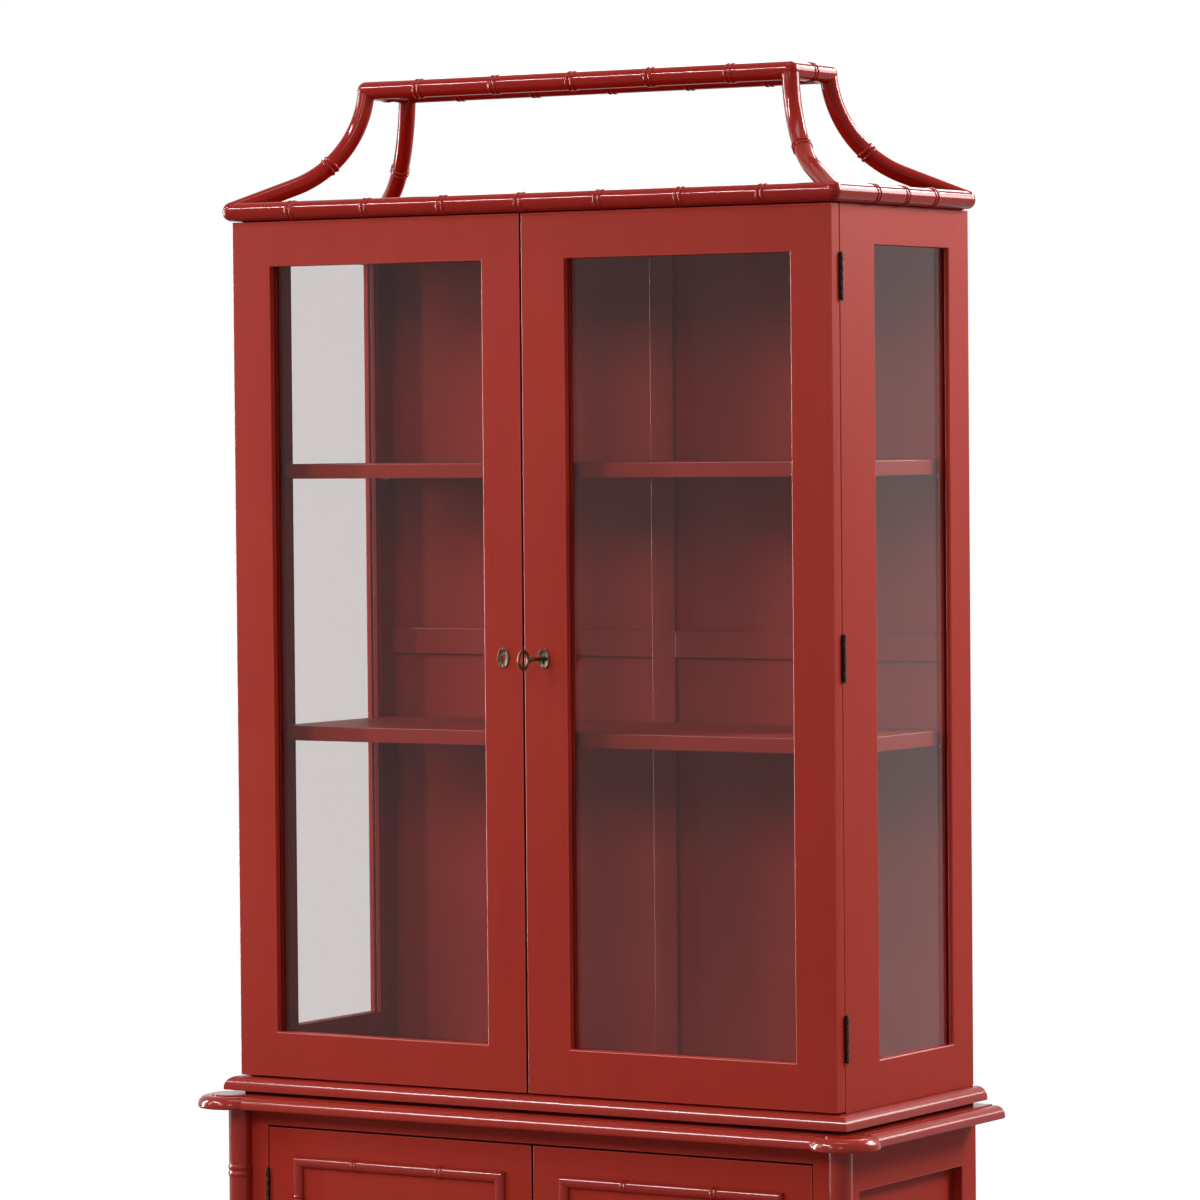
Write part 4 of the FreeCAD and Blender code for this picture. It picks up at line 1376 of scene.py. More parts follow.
    def add_pins(self) -> None:
        """Shelf pins with a round nose, two at each end of a shelf."""
        low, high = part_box("shelf_pins")
        nose = self.pin_radius / 3
        pins = []
        for shelf in ("hutch_shelf_lower", "hutch_shelf_upper"):
            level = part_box(shelf)[0].z - self.pin_radius
            for y in (low.y + self.pin_radius, high.y - self.pin_radius):
                for start, way in ((low.x, 1), (high.x, -1)):
                    ends = Vector((start, y, level)), Vector((start + self.pin_length * way, y, level))
                    name = f"shelf_pin_{len(pins)}"
                    pin = Workpiece.round_bar(name, self.pin_radius, *ends, self.pin_sides)
                    pin.coat(self.joinery.finishes.steel)
                    pin.soften(nose)
                    pin.shade(self.pin_turn, False)
                    pins.append(pin)
        pins[0].join(pins[1:])
        made = Workpiece("display_shelf_pins", pins[0].body)
        made.hand_over(self.joinery.root, Slot.STEEL, "shelf_pins")

    def add_foot(self) -> None:
        """The mitred moulding round the hutch's foot."""
        low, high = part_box("hutch_foot_moulding")
        width = self.moulding_width
        lengths = [(low, Vector((high.x, low.y + width, high.z)), Axis.DEPTH.way(-1))]
        lengths.append((low, Vector((low.x + width, high.y, high.z)), Axis.ACROSS.way(-1)))
        lengths.append((Vector((high.x - width, low.y, low.z)), high, Axis.ACROSS.way()))
        strips = [self.moulding(f"foot_moulding_{index}", *ends) for index, ends in enumerate(lengths)]
        mitres = (low, Vector((1, 1, 0))), (Vector((high.x, low.y, 0)), Vector((-1, 1, 0)))
        for strip, (start, end, _) in zip(strips, lengths):
            for corner, diagonal in mitres:
                normal = diagonal.cross(Axis.UP.way()).normalized()
                middle = (start + end) / 2
                if (middle - corner).dot(normal) > 0:
                    normal = -normal
                strip.saw(corner, normal)
            # The arris finish on the roundings is partly rubbed wear, partly a painted highlight.
            strip.coat(self.joinery.finishes.sheen, self.joinery.finishes.arris)
            strip.soften(
                self.joinery.fine_arris, self.moulding_arris_steps, self.moulding_arris_turn, ARRIS_SLOT
            )
            strip.shade(self.moulding_turn)
        strips[0].join(strips[1:])
        made = Workpiece("hutch_foot", strips[0].body)
        made.hand_over(self.joinery.root, Slot.LACQUER, "hutch_foot_moulding")

    def moulding(self, name: str, low: Vector, high: Vector, out: Vector) -> Workpiece:
        """One length of moulding, its outer top edge rounded behind a small quirk.

        Args:
            name: Name of the piece.
            low: Lowest corner.
            high: Highest corner.
            out: Direction of the outer face.

        Returns:
            The length.
        """
        made = Workpiece.block(name, low, high)
        face = max(low.dot(out), high.dot(out))
        with made.editing():
            made.pick_edges(
                lambda one, two: min(one.z, two.z) > high.z - MERGE
                and min(one.dot(out), two.dot(out)) > face - MERGE
            )
            bpy.ops.mesh.bevel(
                offset=self.moulding_crest, segments=self.crest_steps, profile=0.5, affect="EDGES"
            )
        return made


@dataclass(frozen=True)
class Butt:
    """A butt hinge: a leaf on the door, a leaf on the case, five knuckles and a pin."""

    length: float = 0.0635
    leaf: float = 0.0008
    leaf_arris: float = 0.0002
    width: float = 0.0192
    knuckle: float = 0.0023
    knuckle_arris: float = 0.0006
    gap: float = 0.0003
    pin: float = 0.001
    pin_sides: int = 24
    dome: float = 0.0007
    dome_steps: int = 4
    tip: float = 0.0015
    knuckles: int = 5

    def rows(self, low: float, high: float, inset: float, count: int) -> list[float]:
        """Heights of the hinges' lower ends on a door."""
        first, last = low + inset, high - inset - self.length
        return [first + (last - first) * index / (count - 1) for index in range(count)]

    def plate(
        self, name: str, foot: Vector, into: Vector, across: Vector, own: Sequence[int]
    ) -> Workpiece:
        """One leaf with the knuckles that belong to it.

        Args:
            name: Name of the piece.
            foot: Lower end of the pin's line.
            into: Direction from the pin along the leaf.
            across: Direction of the leaf's thickness.
            own: Numbers of its knuckles, from the lowest.

        Returns:
            The leaf.
        """
        up = Axis.UP.way()
        edge = self.knuckle + self.gap
        made = Workpiece.block(
            name, foot + into * edge, foot + into * self.width + across * self.leaf + up * self.length
        )
        made.soften(self.leaf_arris, segments=1)
        step = self.length / self.knuckles
        parts = []
        for index in own:
            start = foot + up * (step * index + self.gap / 2)
            end = foot + up * (step * (index + 1) - self.gap / 2)
            parts.append(Workpiece.block(name, start, end + into * edge + across * self.leaf))
            barrel = Workpiece.round_bar(name, self.knuckle, start, end)
            barrel.soften(self.knuckle_arris, segments=2)
            parts.append(barrel)
        made.join(parts)
        return Workpiece(name, made.body)

    def pintle(self, name: str, foot: Vector) -> Workpiece:
        """The pin, a little longer than the barrel, with domed ends.

        Args:
            name: Name of the piece.
            foot: Lower end of the barrel.

        Returns:
            The pin.
        """
        start = foot - Axis.UP.way(self.tip)
        end = foot + Axis.UP.way(self.length + self.tip)
        made = Workpiece.round_bar(name, self.pin, start, end, self.pin_sides)
        made.soften(self.dome, self.dome_steps)
        return made


@dataclass
class Fittings:
    """Hinges, keyhole plates, keys and locks.

    Args:
        finishes: Finishes of the cabinet.
    """

    finishes: Finishes
    butt: Butt = field(default_factory=Butt)
    case_leaves: list[Workpiece] = field(default_factory=list)
    pins: list[Workpiece] = field(default_factory=list)
    iron_turn: float = 40
    plate_sides: int = 72
    rim: float = 0.0016
    rim_round: float = 0.35
    rim_steps: int = 3
    dish: float = 0.0005
    dish_taper: float = 0.94
    keyhole_radius: float = 0.0029
    slot_half: float = 0.0013
    slot_drop: float = 0.007
    stud: float = 0.0011
    stud_rise: float = 1.6
    stud_round: float = 0.45
    stud_sides: int = 16
    cast_turn: float = 45
    bow_radius: float = 0.012
    bow_sides: int = 48
    bow_wire: float = 0.0024
    bow_wire_sides: int = 16
    bow_flatness: float = 0.82
    edge_round: float = 0.3
    shaft: float = 0.0025
    collar: float = 0.004
    collar_length: float = 0.005
    ring_lead: float = 1.3
    ring_length: float = 0.3
    ring_width: float = 0.8
    bit_reach: float = 0.006
    bit_half: float = 0.001
    bit_length: float = 0.004
    bit_start: float = 0.0017
    root: str = "cabinet"

    def joint(self, name: str) -> Vector:
        """Place of a joint of the frame."""
        found = next(joint for joint in frame["joints"] if joint["name"] == name)
        return Vector(found["pos_m"])

    def hang(
        self, door: str, panel: str, inset: float, count: int, into: Vector, across: Vector
    ) -> None:
        """Hinges of one door.

        Args:
            door: Body of the door.
            panel: Node that gives the door's height.
            inset: Distance of the outer hinges from the door's ends.
            count: Number of hinges.
            into: Direction from the pin along the leaves.
            across: Direction from the door's leaf to the case's.
        """
        spot = self.joint(f"{door}_swing")
        low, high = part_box(panel)
        leaves = []
        for index, level in enumerate(self.butt.rows(low.z, high.z, inset, count)):
            foot = Vector((spot.x, spot.y, level))
            odd, even = range(1, self.butt.knuckles, 2), range(0, self.butt.knuckles, 2)
            leaves.append(self.butt.plate(f"{door}_butt_{index}", foot, into, -across, odd))
            case_leaf = self.butt.plate(f"{door}_case_leaf_{index}", foot, into, across, even)
            self.case_leaves.append(case_leaf)
            self.pins.append(self.butt.pintle(f"{door}_pintle_{index}", foot))
        made = self.gather(leaves, f"{door}_butts")
        made.hand_over(door, Slot.BRASS, f"{door}_hinge_leaves")

    def gather(self, parts: Sequence[Workpiece], name: str) -> Workpiece:
        """Join parts of hinges into one piece and finish it.

        Args:
            parts: The parts.
            name: Name of the piece.

        Returns:
            The piece.
        """
        parts[0].join(parts[1:])
        made = Workpiece(name, parts[0].body)
        made.coat(self.finishes.iron)
        made.shade(self.iron_turn, False)
        return made

    def finish_hinges(self) -> None:
        """Hand over what stays on the case."""
        leaves = self.gather(self.case_leaves, "case_butts")
        leaves.hand_over(self.root, Slot.BRASS, "hinge_case_leaves")
        pins = self.gather(self.pins, "butt_pins")
        pins.hand_over(self.root, Slot.STEEL, "hinge_pins")

    def keyhole(self, spot: Vector, depth: float) -> Workpiece:
        """A cutter for a keyhole.

        Args:
            spot: Middle of the round part, on the face that is cut.
            depth: How far it cuts on each side of that face.

        Returns:
            The cutter.
        """
        reach = Axis.DEPTH.way(depth)
        start = spot - reach
        made = Workpiece.round_bar("keyhole_cutter", self.keyhole_radius, start, spot + reach)
        slit = Workpiece.block(
            "keyhole_slit",
            start - Vector((self.slot_half, 0, self.slot_drop)),
            spot + reach + Vector((self.slot_half, 0, 0)),
        )
        made.carve(slit, "UNION")
        return made

    def plate(self, door: str, name: str) -> None:
        """An oval keyhole plate with a raised rim and two studs.

        Args:
            door: Body of the door.
            name: First words of the plate's name.
        """
        node = f"{door}_escutcheon"
        low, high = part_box(node)
        middle = (low + high) / 2
        tall, wide, thick = high.z - low.z, high.x - low.x, high.y - low.y
        ends = Vector((0, thick / 2, 0)), Vector((0, -thick / 2, 0))
        unit_radius = 0.5
        made = Workpiece.round_bar(f"{name}_plate", unit_radius, *ends, self.plate_sides)
        made.turn(Matrix.Translation(middle) @ Matrix.Diagonal((wide, 1, tall, 1)))
        with made.editing():
            made.pick_faces(lambda spot, normal: normal.y < -FACING)
            bpy.ops.mesh.bevel(offset=thick * self.rim_round, segments=self.rim_steps, affect="EDGES")
            made.pick_faces(lambda spot, normal: normal.y < -FACING and abs(spot.y - low.y) < MERGE)
            bpy.ops.mesh.inset(thickness=self.rim)
            bpy.ops.mesh.extrude_region_move(TRANSFORM_OT_translate={"value": (0, self.dish, 0)})
            taper = self.dish_taper, 1, self.dish_taper
            bpy.ops.transform.resize(value=taper, center_override=middle)
        made.mend()
        made.carve(self.keyhole(middle, thick * 2))
        studs = []
        for sign in (-1, 1):
            spot = Vector((middle.x, low.y + self.dish, middle.z + sign * (tall / 2 - self.rim * 2)))
            crown = spot - Axis.DEPTH.way(self.dish * self.stud_rise)
            stud = Workpiece.round_bar("stud", self.stud, spot, crown, self.stud_sides)
            stud.soften(self.stud * self.stud_round)
            studs.append(stud)
        made.join(studs)
        made.coat(self.finishes.bronze)
        made.shade(self.cast_turn, False)
        made.hand_over(door, Slot.BRASS, node)

    def key(self, body: str) -> None:
        """A key with a ring bow, two collars, a round shaft and a bit.

        Args:
            body: Body and node of the key.
        """
        low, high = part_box(body)
        spot = self.joint(f"{body}_turn")
        back = Axis.DEPTH.way()
        bow = Vector((spot.x, low.y + self.bow_radius + self.bow_wire, spot.z))
        Workpiece.clear_bench()
        bpy.ops.mesh.primitive_torus_add(
            major_radius=self.bow_radius, minor_radius=self.bow_wire,
            major_segments=self.bow_sides, minor_segments=self.bow_wire_sides,
            location=bow, rotation=(0, math.pi / 2, 0),
        )
        made = Workpiece.adopt(f"{body}_ring")
        with made.editing():
            bpy.ops.transform.resize(value=(self.bow_flatness, 1, 1), center_override=bow)
        neck = bow + back * self.bow_radius
        shaft = Workpiece.round_bar("key_shaft", self.shaft, neck, Vector((spot.x, high.y, spot.z)))
        shaft.soften(self.shaft * self.edge_round, segments=2)
        parts = [shaft]
        for start, length, radius in (
            (self.bow_wire, self.collar_length, self.collar),
            (
                self.bow_wire + self.collar_length * self.ring_lead,
                self.collar_length * self.ring_length,
                self.collar * self.ring_width,
            ),
        ):
            ends = neck + back * start, neck + back * (start + length)
            collar = Workpiece.round_bar("key_collar", radius, *ends)
            collar.soften(length * self.edge_round)
            parts.append(collar)
        bit_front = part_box(body.replace("key", "lock_case"))[0].y + self.bit_start
        bit = Workpiece.block(
            "key_bit",
            Vector((spot.x - self.bit_half, bit_front, spot.z - self.bit_reach)),
            Vector((spot.x + self.bit_half, bit_front + self.bit_length, spot.z)),
        )
        bit.soften(self.bit_half * self.edge_round, segments=1)
        parts.append(bit)
        made.join(parts)
        made.coat(self.finishes.brass)
        made.shade(self.cast_turn, False)
        made.hand_over(body, Slot.BRASS, body)

    def dress_locks(self) -> None:
        """Finish the lock cases and bolts, whose shapes are kept."""
        for name in ("hutch_lock_case", "base_lock_case", "hutch_lock_bolt", "base_lock_bolt"):
            mesh = frame["nodes"][name].data
            mesh.materials.clear()
            mesh.materials.append(self.finishes.brass if "case" in name else self.finishes.steel)
            LOG.info("%s keeps its shape", name)


@dataclass
class HutchDoor:
    """A glazed door of the hutch.

    Args:
        hutch: Maker of panes and beads.
        fittings: Maker of hinges, plates and keys.
        name: Side of the door.
        sign: -1 on the left and 1 on the right.
    """

    hutch: Hutch
    fittings: Fittings
    name: str
    sign: int
    hinges: int = 3
    hinge_inset: float = 0.065

    def build(self) -> None:
        """Build and hand over the door."""
        door = f"hutch_door_{self.name}"
        joinery = self.hutch.joinery
        low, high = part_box(f"{door}_frame")
        glass_low, glass_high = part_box(f"{door}_glass")
        open_low, open_high = self.hutch.opening(f"{door}_glass")
        inwards = Axis.DEPTH.way()
        frame_piece = PanelFrame(
            f"glazed_door_{self.name}", low, high, open_low, open_high, Axis.ACROSS, inwards,
            glass_low.y - low.y, self.hutch.rebate,
        ).build()
        joinery.dress(frame_piece, joinery.arris_width)
        LockCuts("hutch", low.y, self.sign, self.fittings).cut(frame_piece)
        # Painted shade on the meeting edge, standing in for the shadow in the gap between the doors.
        frame_piece.paint_gap_shade(joinery.finishes.shade, Axis.ACROSS.way(-self.sign))
        frame_piece.hand_over(door, Slot.LACQUER, f"{door}_frame")
        pane = self.hutch.pane(f"door_pane_{self.name}", glass_low, glass_high)
        pane.hand_over(door, Slot.GLASS, f"{door}_glass")
        beads = self.hutch.bead_ring(
            f"door_beads_{self.name}", open_low, open_high, Axis.ACROSS, inwards, glass_high.y, high.y
        )
        beads.hand_over(door, Slot.LACQUER, f"{door}_beads")
        self.fittings.plate(door, f"hutch_keyhole_{self.name}")
        into = Axis.ACROSS.way(-self.sign)
        self.fittings.hang(door, f"{door}_frame", self.hinge_inset, self.hinges, into, Axis.DEPTH.way())


@dataclass
class LockCuts:
    """What a lock takes out of a pair of doors.

    Args:
        name: Stage of the cabinet.
        front: Place of the doors' face.
        sign: -1 for the left-hand door and 1 for the right-hand one.
        fittings: Maker of keyholes.
    """

    name: str
    front: float
    sign: int
    fittings: Fittings
    play: float = 0.0005
    throw: float = 0.007
    door_gap: float = 0.002

    def cut(self, door: Workpiece) -> None:
        """Cut the recess, the bolt's slot and the keyhole, or the mortise across from them.

        Args:
            door: The door that is cut.
        """
        bolt_low, bolt_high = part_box(f"{self.name}_lock_bolt")
        play = Vector((0, self.play, self.play))
        if self.sign < 0:
            reach = self.door_gap + self.throw + self.play
            start = Vector((bolt_low.x - reach, bolt_low.y, bolt_low.z)) - play
            end = Vector((bolt_low.x, bolt_high.y, bolt_high.z)) + play
            door.carve(Workpiece.block("bolt_mortise", start, end))
        else:
            case_low, case_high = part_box(f"{self.name}_lock_case")
            back = Vector((0, self.play, 0))
            door.carve(Workpiece.block("lock_recess", case_low, case_high + back))
            start = Vector((bolt_low.x - self.door_gap, bolt_low.y, bolt_low.z)) - play
            end = Vector((case_low.x + self.play, bolt_high.y, bolt_high.z)) + play
            door.carve(Workpiece.block("bolt_slot", start, end))
            spot = self.fittings.joint(f"{self.name}_key_turn")
            face = Vector((spot.x, self.front, spot.z))
            door.carve(self.fittings.keyhole(face, case_low.y - self.front + self.play))
        door.shade()


@dataclass
class BaseCabinet:
    """The base: its top, posts, face frame, sides, doors and inside.

    Args:
        joinery: Maker of the flat pieces.
        fittings: Maker of hinges, plates and keys.
    """

    joinery: Joinery
    fittings: Fittings
    ear_radius: float = 0.0485
    ear_sides: int = 96
    slab_inset: float = 0.0126
    slab_overhang: float = 0.036
    slab_turn: float = 38
    crest_steps: int = 12
    under_round: float = 0.003
    under_steps: int = 5
    edge_flat: float = 0.0006
    step: float = 0.0014
    step_inset: float = 0.02
    step_sides: int = 64
    post_radius: float = 0.0163
    post_front: float = 0.005
    post_drop: float = 0.0904
    post_pitch: float = 0.2
    post_ridge_width: float = 0.0074
    post_nodes: int = 4
    leg_height: float = 0.11
    face_stile: float = 0.0447
    face_top_rail: float = 0.0242
    face_bottom_rail: float = 0.045
    side_rebate: float = 0.008
    side_play: float = 0.0005
    panel_thickness: float = 0.006
    rear_stile: float = 0.041
    cleat_thickness: float = 0.016
    trim_cane: Cane = Cane(
        radius=0.00825, ridge_height=0.0012, ridge_width=0.004, ridge_gap=0.0016,
        ease=0.001, sides=32, ridge_steps=6,
    )
    trim_mitre: float = 0.0004
    trim_spread: float = 0.071
    trim_end_inset: float = 0.06
    trim_nodes: int = 4
    hinges: int = 2
    hinge_inset: float = 0.059

    def build(self) -> None:
        """Build and hand over the base."""
        self.joinery.boards({
            "base_floor": "base_bottom_board",
            "base_back": "base_back_panel",
            "store_shelf": "base_shelf",
        })
        self.add_top()
        self.add_posts()
        self.add_face()
        self.add_sides()
        self.add_cleats()
        for name, sign in SIDES:
            self.add_door(name, sign)

    def add_top(self) -> None:
        """Slab with a stepped round edge and a disc at each front corner."""
        low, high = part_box("base_top")
        step_low = high.z - self.step
        crest = step_low - low.z - self.under_round - self.edge_flat
        slab_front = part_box("hutch_door_left_frame")[0].y - self.slab_overhang
        slab_low = Vector((low.x + self.slab_inset, slab_front, low.z))
        slab_high = Vector((high.x - self.slab_inset, high.y, step_low))
        slab = Workpiece.block("slab_top", slab_low, slab_high)
        self.round_rim(slab, low.z, step_low, crest, high.y)
        inset = self.step_inset
        shelf_low = Vector((slab_low.x + inset, slab_low.y + inset, step_low - self.step))
        shelf_high = Vector((slab_high.x - inset, high.y, high.z))
        plates = [Workpiece.block("slab_step", shelf_low, shelf_high)]
        for sign in (-1, 1):
            x = (high.x - self.ear_radius) * sign
            y = low.y + self.ear_radius
            ends = Vector((x, y, low.z)), Vector((x, y, step_low))
            ear = Workpiece.round_bar("ear", self.ear_radius, *ends, self.ear_sides)
            self.round_rim(ear, low.z, step_low, crest, None)
            slab.carve(ear, "UNION")
            ends = Vector((x, y, step_low - self.step)), Vector((x, y, high.z))
            plates.append(Workpiece.round_bar(
                "ear_step", self.ear_radius - inset, *ends, self.step_sides
            ))
        for plate in plates:
            slab.carve(plate, "UNION")
        slab.mend()
        slab.coat(self.joinery.finishes.sheen)
        slab.shade(self.slab_turn)
        slab.hand_over(self.joinery.root, Slot.LACQUER, "base_top")

    def round_rim(
        self, made: Workpiece, low: float, high: float, crest: float, rear: float | None
    ) -> None:
        """Round the top rim widely and the bottom rim a little, but not along a square rear edge.

        Args:
            made: Slab or disc.
            low: Level of its underside.
            high: Level of its top.
            crest: Radius of the top rim.
            rear: Place of a square rear edge.
        """

        def on_rim(one: Vector, two: Vector, level: float) -> bool:
            """Whether an edge lies on a rim that is rounded.

            Args:
                one: One end of the edge.
                two: Its other end.
                level: Level of the rim.

            Returns:
                Whether it does.
            """
            level_fits = abs(one.z - level) < MERGE and abs(two.z - level) < MERGE
            at_rear = rear is not None and min(one.y, two.y) > rear - MERGE
            return level_fits and not at_rear

        with made.editing():
            made.pick_edges(lambda one, two: on_rim(one, two, high))
            bpy.ops.mesh.bevel(
                offset=crest, segments=self.crest_steps, profile=0.5, affect="EDGES"
            )
            made.pick_edges(lambda one, two: on_rim(one, two, low))
            bpy.ops.mesh.bevel(
                offset=self.under_round, segments=self.under_steps, profile=0.5, affect="EDGES"
            )

    def add_posts(self) -> None:
        """Bamboo columns at the front corners."""
        face_low, face_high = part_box("base_face_frame")
        height = face_high.z
        first = height - self.post_drop
        places = [first - index * self.post_pitch for index in range(self.post_nodes)]
        cane = Cane(self.post_radius, ridge_width=self.post_ridge_width)
        master = cane.turn_rod("post_master", height, places)
        upright = Matrix.Rotation(-math.pi / 2, 4, "Y")
        for name, sign in SIDES:
            corner = Vector((face_high.x * sign, face_low.y, 0))
            middle = corner - Axis.DEPTH.way(self.post_front)
            post = master.copy(f"bamboo_post_{name}").turn(Matrix.Translation(middle) @ upright)
            reach = self.post_radius * 2
            notch = Workpiece.block(
                "post_notch",
                corner + Axis.UP.way(self.leg_height),
                corner + Vector((-reach * sign, reach, height + self.post_radius)),
            )
            post.carve(notch)
            post.mend()
            post.coat(self.joinery.finishes.sheen)
            post.shade(self.joinery.cane_turn, False)
            post.hand_over(self.joinery.root, Slot.GLOSS, f"base_post_{name}")
        bpy.data.objects.remove(master.body)

    def add_face(self) -> None:
        """Frame round the doors."""
        low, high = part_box("base_face_frame")
        open_low = low + Vector((self.face_stile, 0, self.face_bottom_rail))
        open_high = high - Vector((self.face_stile, 0, self.face_top_rail))
        face = PanelFrame(
            "base_front", low, high, open_low, open_high, Axis.ACROSS, Axis.DEPTH.way(), 0, 0
        ).build()
        self.joinery.dress(face, self.joinery.fine_arris)
        face.hand_over(self.joinery.root, Slot.LACQUER, "base_face_frame")

    def add_sides(self) -> None:
        """Panelled sides, whose rear stiles end as feet."""
        panel_low, panel_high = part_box("base_side_panels")
        margin = Vector((1, 1, 1)) * (self.side_rebate - self.side_play)
        panels = []
        for name, sign in SIDES:
            low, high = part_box(f"base_side_{name}")
            low.z = self.leg_height
            outer = high.x if sign > 0 else low.x
            panel_outer = panel_high.x if sign > 0 else panel_low.x
            side = PanelFrame(
                f"base_side_frame_{name}", low, high, panel_low + margin, panel_high - margin,
                Axis.DEPTH, Axis.ACROSS.way(-sign), abs(outer - panel_outer), self.side_rebate,
            ).build()
            with side.editing():
                side.pick_faces(
                    lambda spot, normal: normal.z < -FACING
                    and abs(spot.z - self.leg_height) < MERGE
                    and spot.y > high.y - self.rear_stile - MERGE
                )
                drop = 0, 0, -self.leg_height
                bpy.ops.mesh.extrude_region_move(TRANSFORM_OT_translate={"value": drop})
            side.mend()
            self.joinery.dress(side, self.joinery.arris_width)
            side.hand_over(self.joinery.root, Slot.LACQUER, f"base_side_{name}")
            panels.append((
                Vector((panel_outer, panel_low.y, panel_low.z)),
                Vector((panel_outer - self.panel_thickness * sign, panel_high.y, panel_high.z)),
            ))
        made = self.joinery.group("base_side_infill", panels)
        made.hand_over(self.joinery.root, Slot.LACQUER, "base_side_panels")

    def add_cleats(self) -> None:
        """Cleats under the shelf."""
        low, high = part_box("base_shelf_cleats")
        thickness = self.cleat_thickness
        made = self.joinery.group("store_shelf_cleats", [
            (low, Vector((low.x + thickness, high.y, high.z))),
            (Vector((high.x - thickness, low.y, low.z)), high),
        ])
        made.hand_over(self.joinery.root, Slot.LACQUER, "base_shelf_cleats")

    def add_door(self, name: str, sign: int) -> None:
        """A flat door with its bamboo trim, plate and hinges.

        Args:
            name: Side of the door.
            sign: -1 on the left and 1 on the right.
        """
        door = f"base_door_{name}"
        low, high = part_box(door)
        board = self.joinery.board(f"store_door_{name}", low, high)
        LockCuts("base", low.y, sign, self.fittings).cut(board)
        # Painted shade on the meeting and top edges, standing in for the shadow in the gaps round the
        # door.
        for way in (Axis.ACROSS.way(-sign), Axis.UP.way()):
            board.paint_gap_shade(self.joinery.finishes.shade, way)
        board.hand_over(door, Slot.LACQUER, door)
        self.add_trim(name, door, low.y)
        self.fittings.plate(door, f"base_keyhole_{name}")
        into, across = Axis.DEPTH.way(), Axis.ACROSS.way(sign)
        self.fittings.hang(door, door, self.hinge_inset, self.hinges, into, across)

    def add_trim(self, name: str, door: str, face: float) -> None:
        """Half-round bamboo lengths on a door's face.

        Args:
            name: Side of the door.
            door: Body of the door.
            face: Place of its face.
        """
        low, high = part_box(f"{door}_bamboo_trim")
        cane = self.trim_cane
        middle = (low + high) / 2
        middle.y = face
        half_across = (high.x - low.x) / 2 - cane.radius
        half_upright = (high.z - low.z) / 2 - cane.radius
        pitch = 2 * (half_upright + cane.radius - self.trim_end_inset) / (self.trim_nodes - 1)
        canes = CaneRing(
            cane, middle, Axis.ACROSS.way(), Axis.UP.way(), half_across, half_upright,
            [-self.trim_spread, self.trim_spread], spread(self.trim_nodes, pitch),
        ).build(f"store_door_trim_{name}")
        for made in canes:
            made.saw(middle, Axis.DEPTH.way())
        canes[0].join(canes[1:])
        self.joinery.dress_cane(canes[0], self.joinery.finishes.sheen, self.trim_mitre)
        canes[0].hand_over(door, Slot.GLOSS, f"{door}_bamboo_trim")


@dataclass(frozen=True)
class Softbox:
    """A large soft lamp that looks at a point of the cabinet.

    A glint only shows in polished surfaces.
    """

    name: str
    spot: tuple[float, float, float]
    aim: tuple[float, float, float]
    width: float
    height: float
    power: float
    glint: bool = False

    def build(self) -> None:
        """Hang the lamp."""
        lamp = bpy.data.lights.new(self.name, "AREA")
        lamp.shape = "RECTANGLE"
        lamp.size = self.width
        lamp.size_y = self.height
        lamp.energy = self.power
        made = bpy.data.objects.new(self.name, lamp)
        way = Vector(self.aim) - Vector(self.spot)
        made.rotation_euler = way.to_track_quat("-Z", "Y").to_euler()
        made.location = self.spot
        made.visible_camera = False
        made.visible_diffuse = not self.glint
        bpy.context.scene.collection.objects.link(made)


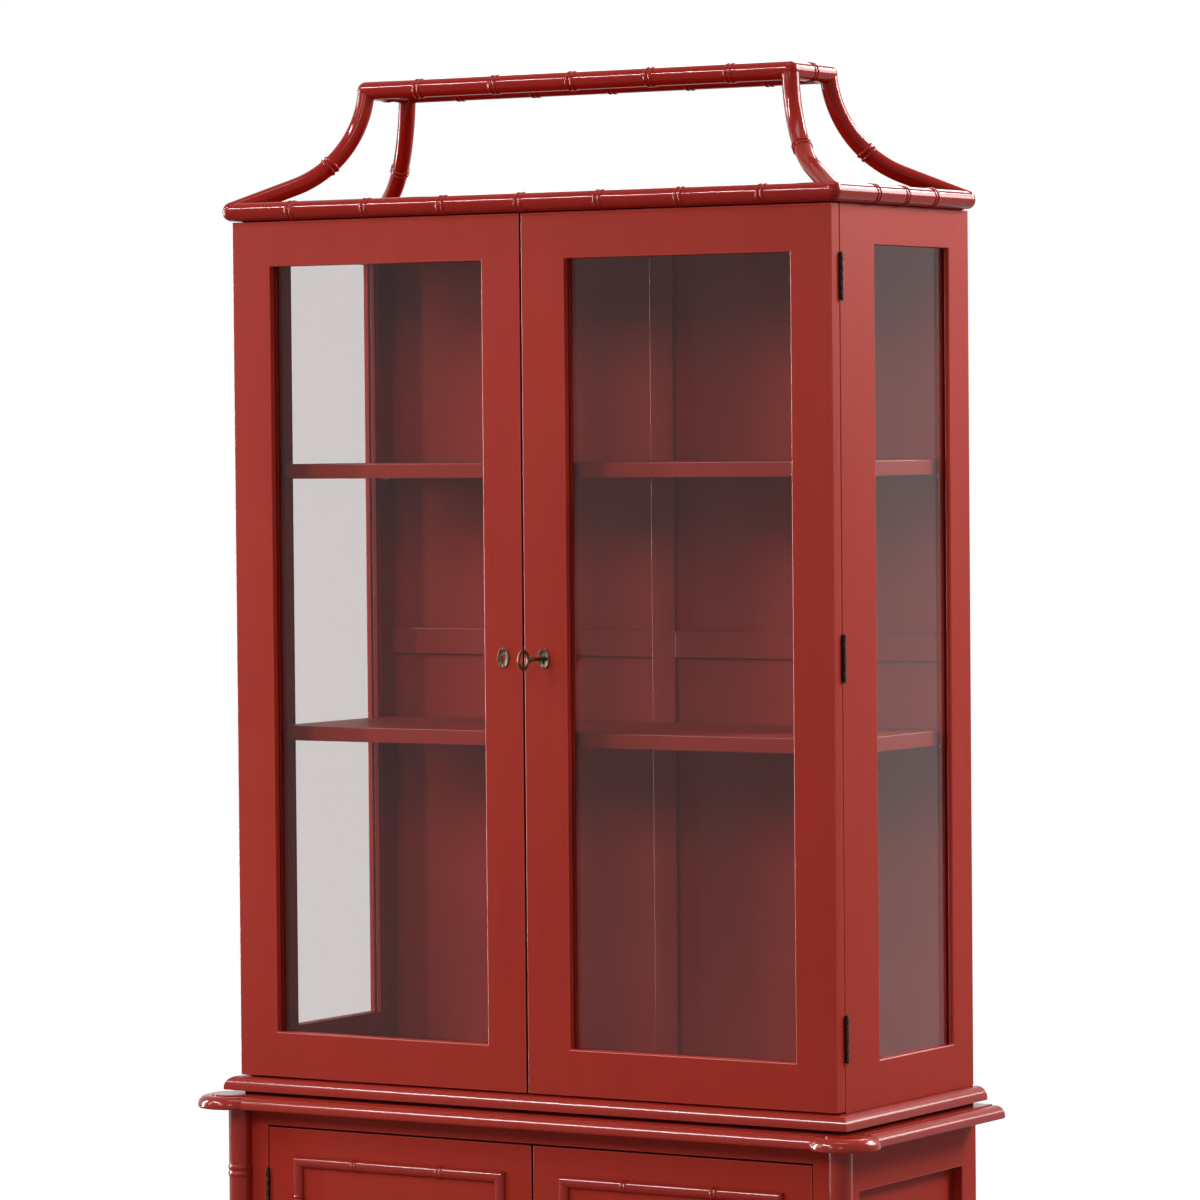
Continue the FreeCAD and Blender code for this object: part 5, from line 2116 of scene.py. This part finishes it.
@dataclass(frozen=True)
class Studio:
    """Pale floor, white surroundings and soft lamps."""

    floor_radius: float = 2.6
    floor_sides: int = 128
    floor_fade: Stops = ((0.5, 0), (0.98, 1))
    floor_roughness: float = 0.7
    floor_colour: Colour = (0.80, 0.80, 0.79)
    floor_bounce: Colour = (0.30, 0.30, 0.30)
    world_strength: float = 0.14
    lamps: tuple[Softbox, ...] = (
        Softbox("left_softbox", (-3.8, -2.7, 3.0), (-0.2, 0, 1.4), 0.5, 2.4, 68),
        Softbox("front_left_softbox", (-1.4, -5.6, 3.7), (-5.0, -2.1, 2.2), 1.8, 1.6, 152),
        Softbox("front_right_softbox", (2.0, -5.4, 3.7), (-2.9, -4.5, 2.6), 1.6, 1.6, 112),
        Softbox("front_strip", (-2.7, -3.3, 4.9), (0, 0, 1.6), 2.4, 0.3, 30),
        Softbox("rear_right_softbox", (2.9, 2.5, 3.5), (0.48, 0, 1.7), 1.4, 1.6, 192),
        Softbox("rear_strip", (-1.3, 3.4, 3.8), (0.0, 0, 1.8), 2.6, 0.9, 50),
        Softbox("top_softbox", (0.2, -0.6, 4.6), (0, 0, 2.0), 1.8, 0.6, 30),
        Softbox("front_glint", (-2.7, -3.4, 4.9), (0, 0, 1.6), 2.4, 0.3, 330, True),
        Softbox("left_glint", (-4.7, -0.9, 2.0), (0, 0, 1.4), 0.5, 3.2, 480, True),
        Softbox("rear_right_glint", (1.9, 4.4, 4.7), (0.48, 0, 2.1), 1.2, 0.9, 200, True),
        Softbox("side_glint", (3.25, 4.4, 3.9), (0.48, 0, 1.6), 2.6, 2.4, 270, True),
    )

    def build(self) -> None:
        """Set the stage."""
        bpy.context.scene.view_settings.view_transform = "Standard"
        self.add_world()
        self.add_floor()
        for lamp in self.lamps:
            lamp.build()

    def add_world(self) -> None:
        """Soft light all round, seen as white."""
        world = bpy.data.worlds.new("studio")
        world.use_nodes = True
        bpy.context.scene.world = world
        bench = ShaderBench(world.node_tree)
        path = bench.add("ShaderNodeLightPath", {}, {})
        seen = Wire(bench, path.outputs["Is Camera Ray"])
        for name in ("Is Glossy Ray", "Is Transmission Ray"):
            seen = seen.at_least(Wire(bench, path.outputs[name]))
        strength = seen * (1 - self.world_strength) + self.world_strength
        light = bench.add("ShaderNodeBackground", {}, {"Color": (1, 1, 1, 1), "Strength": strength})
        bench.show(light.outputs[0], "ShaderNodeOutputWorld")

    def add_floor(self) -> None:
        """A pale disc that fades into the white."""
        Workpiece.clear_bench()
        bpy.ops.mesh.primitive_circle_add(
            vertices=self.floor_sides, radius=self.floor_radius, fill_type="NGON"
        )
        floor = Workpiece.adopt("studio_floor")
        made, bench = new_bench("pale_floor")
        path = bench.add("ShaderNodeLightPath", {}, {})
        seen = Wire(bench, path.outputs["Is Camera Ray"])
        colour = bench.blend(seen, self.floor_bounce, self.floor_colour)
        pale = bench.surface({"Base Color": colour, "Roughness": self.floor_roughness})
        white = bench.add("ShaderNodeEmission", {}, {"Color": (1, 1, 1, 1), "Strength": 1.0})
        split = bench.add("ShaderNodeVectorMath", {"operation": "LENGTH"}, {0: bench.place()})
        away = Wire(bench, split.outputs["Value"])
        rim = bench.ramp(away * (1 / self.floor_radius), self.floor_fade)
        mixed = bench.add(
            "ShaderNodeMixShader", {}, {0: rim * seen, 1: pale.outputs[0], 2: white.outputs[0]}
        )
        bench.show(mixed.outputs[0])
        floor.coat(made)


@dataclass(frozen=True)
class PhotoCamera:
    """The photograph's viewpoint."""

    lens: float = 164.43
    spot: tuple[float, float, float] = (4.0433, -6.4646, 1.7673)
    yaw: float = -31.88
    pitch: float = -1.718
    roll: float = -0.496
    reach: float = 100

    def build(self) -> None:
        """Set up the camera."""
        yaw, pitch, roll = (math.radians(angle) for angle in (self.yaw, self.pitch, self.roll))
        ahead = math.cos(pitch)
        forward = Vector((math.sin(yaw) * ahead, math.cos(yaw) * ahead, math.sin(pitch)))
        level = Vector((math.cos(yaw), -math.sin(yaw), 0))
        rise = level.cross(forward)
        right = level * math.cos(roll) + rise * math.sin(roll)
        up = rise * math.cos(roll) - level * math.sin(roll)
        data = bpy.data.cameras.new("photo_camera")
        data.lens = self.lens
        data.clip_end = self.reach
        made = bpy.data.objects.new("photo_camera", data)
        turn = Matrix((right, up, -forward)).transposed().to_4x4()
        made.matrix_world = Matrix.Translation(self.spot) @ turn
        bpy.context.scene.collection.objects.link(made)
        bpy.context.scene.camera = made


def main() -> None:
    """Build the cabinet's looks and its stage."""
    logging.basicConfig(level=logging.INFO)
    finishes = Finishes()
    joinery = Joinery(finishes)
    fittings = Fittings(finishes)
    hutch = Hutch(joinery)
    hutch.build()
    Crown(joinery).build()
    BaseCabinet(joinery, fittings).build()
    for name, sign in SIDES:
        HutchDoor(hutch, fittings, name, sign).build()
    for key in ("hutch_key", "base_key"):
        fittings.key(key)
    fittings.finish_hinges()
    fittings.dress_locks()
    Studio().build()
    PhotoCamera().build()


if __name__ == "__main__":
    main()
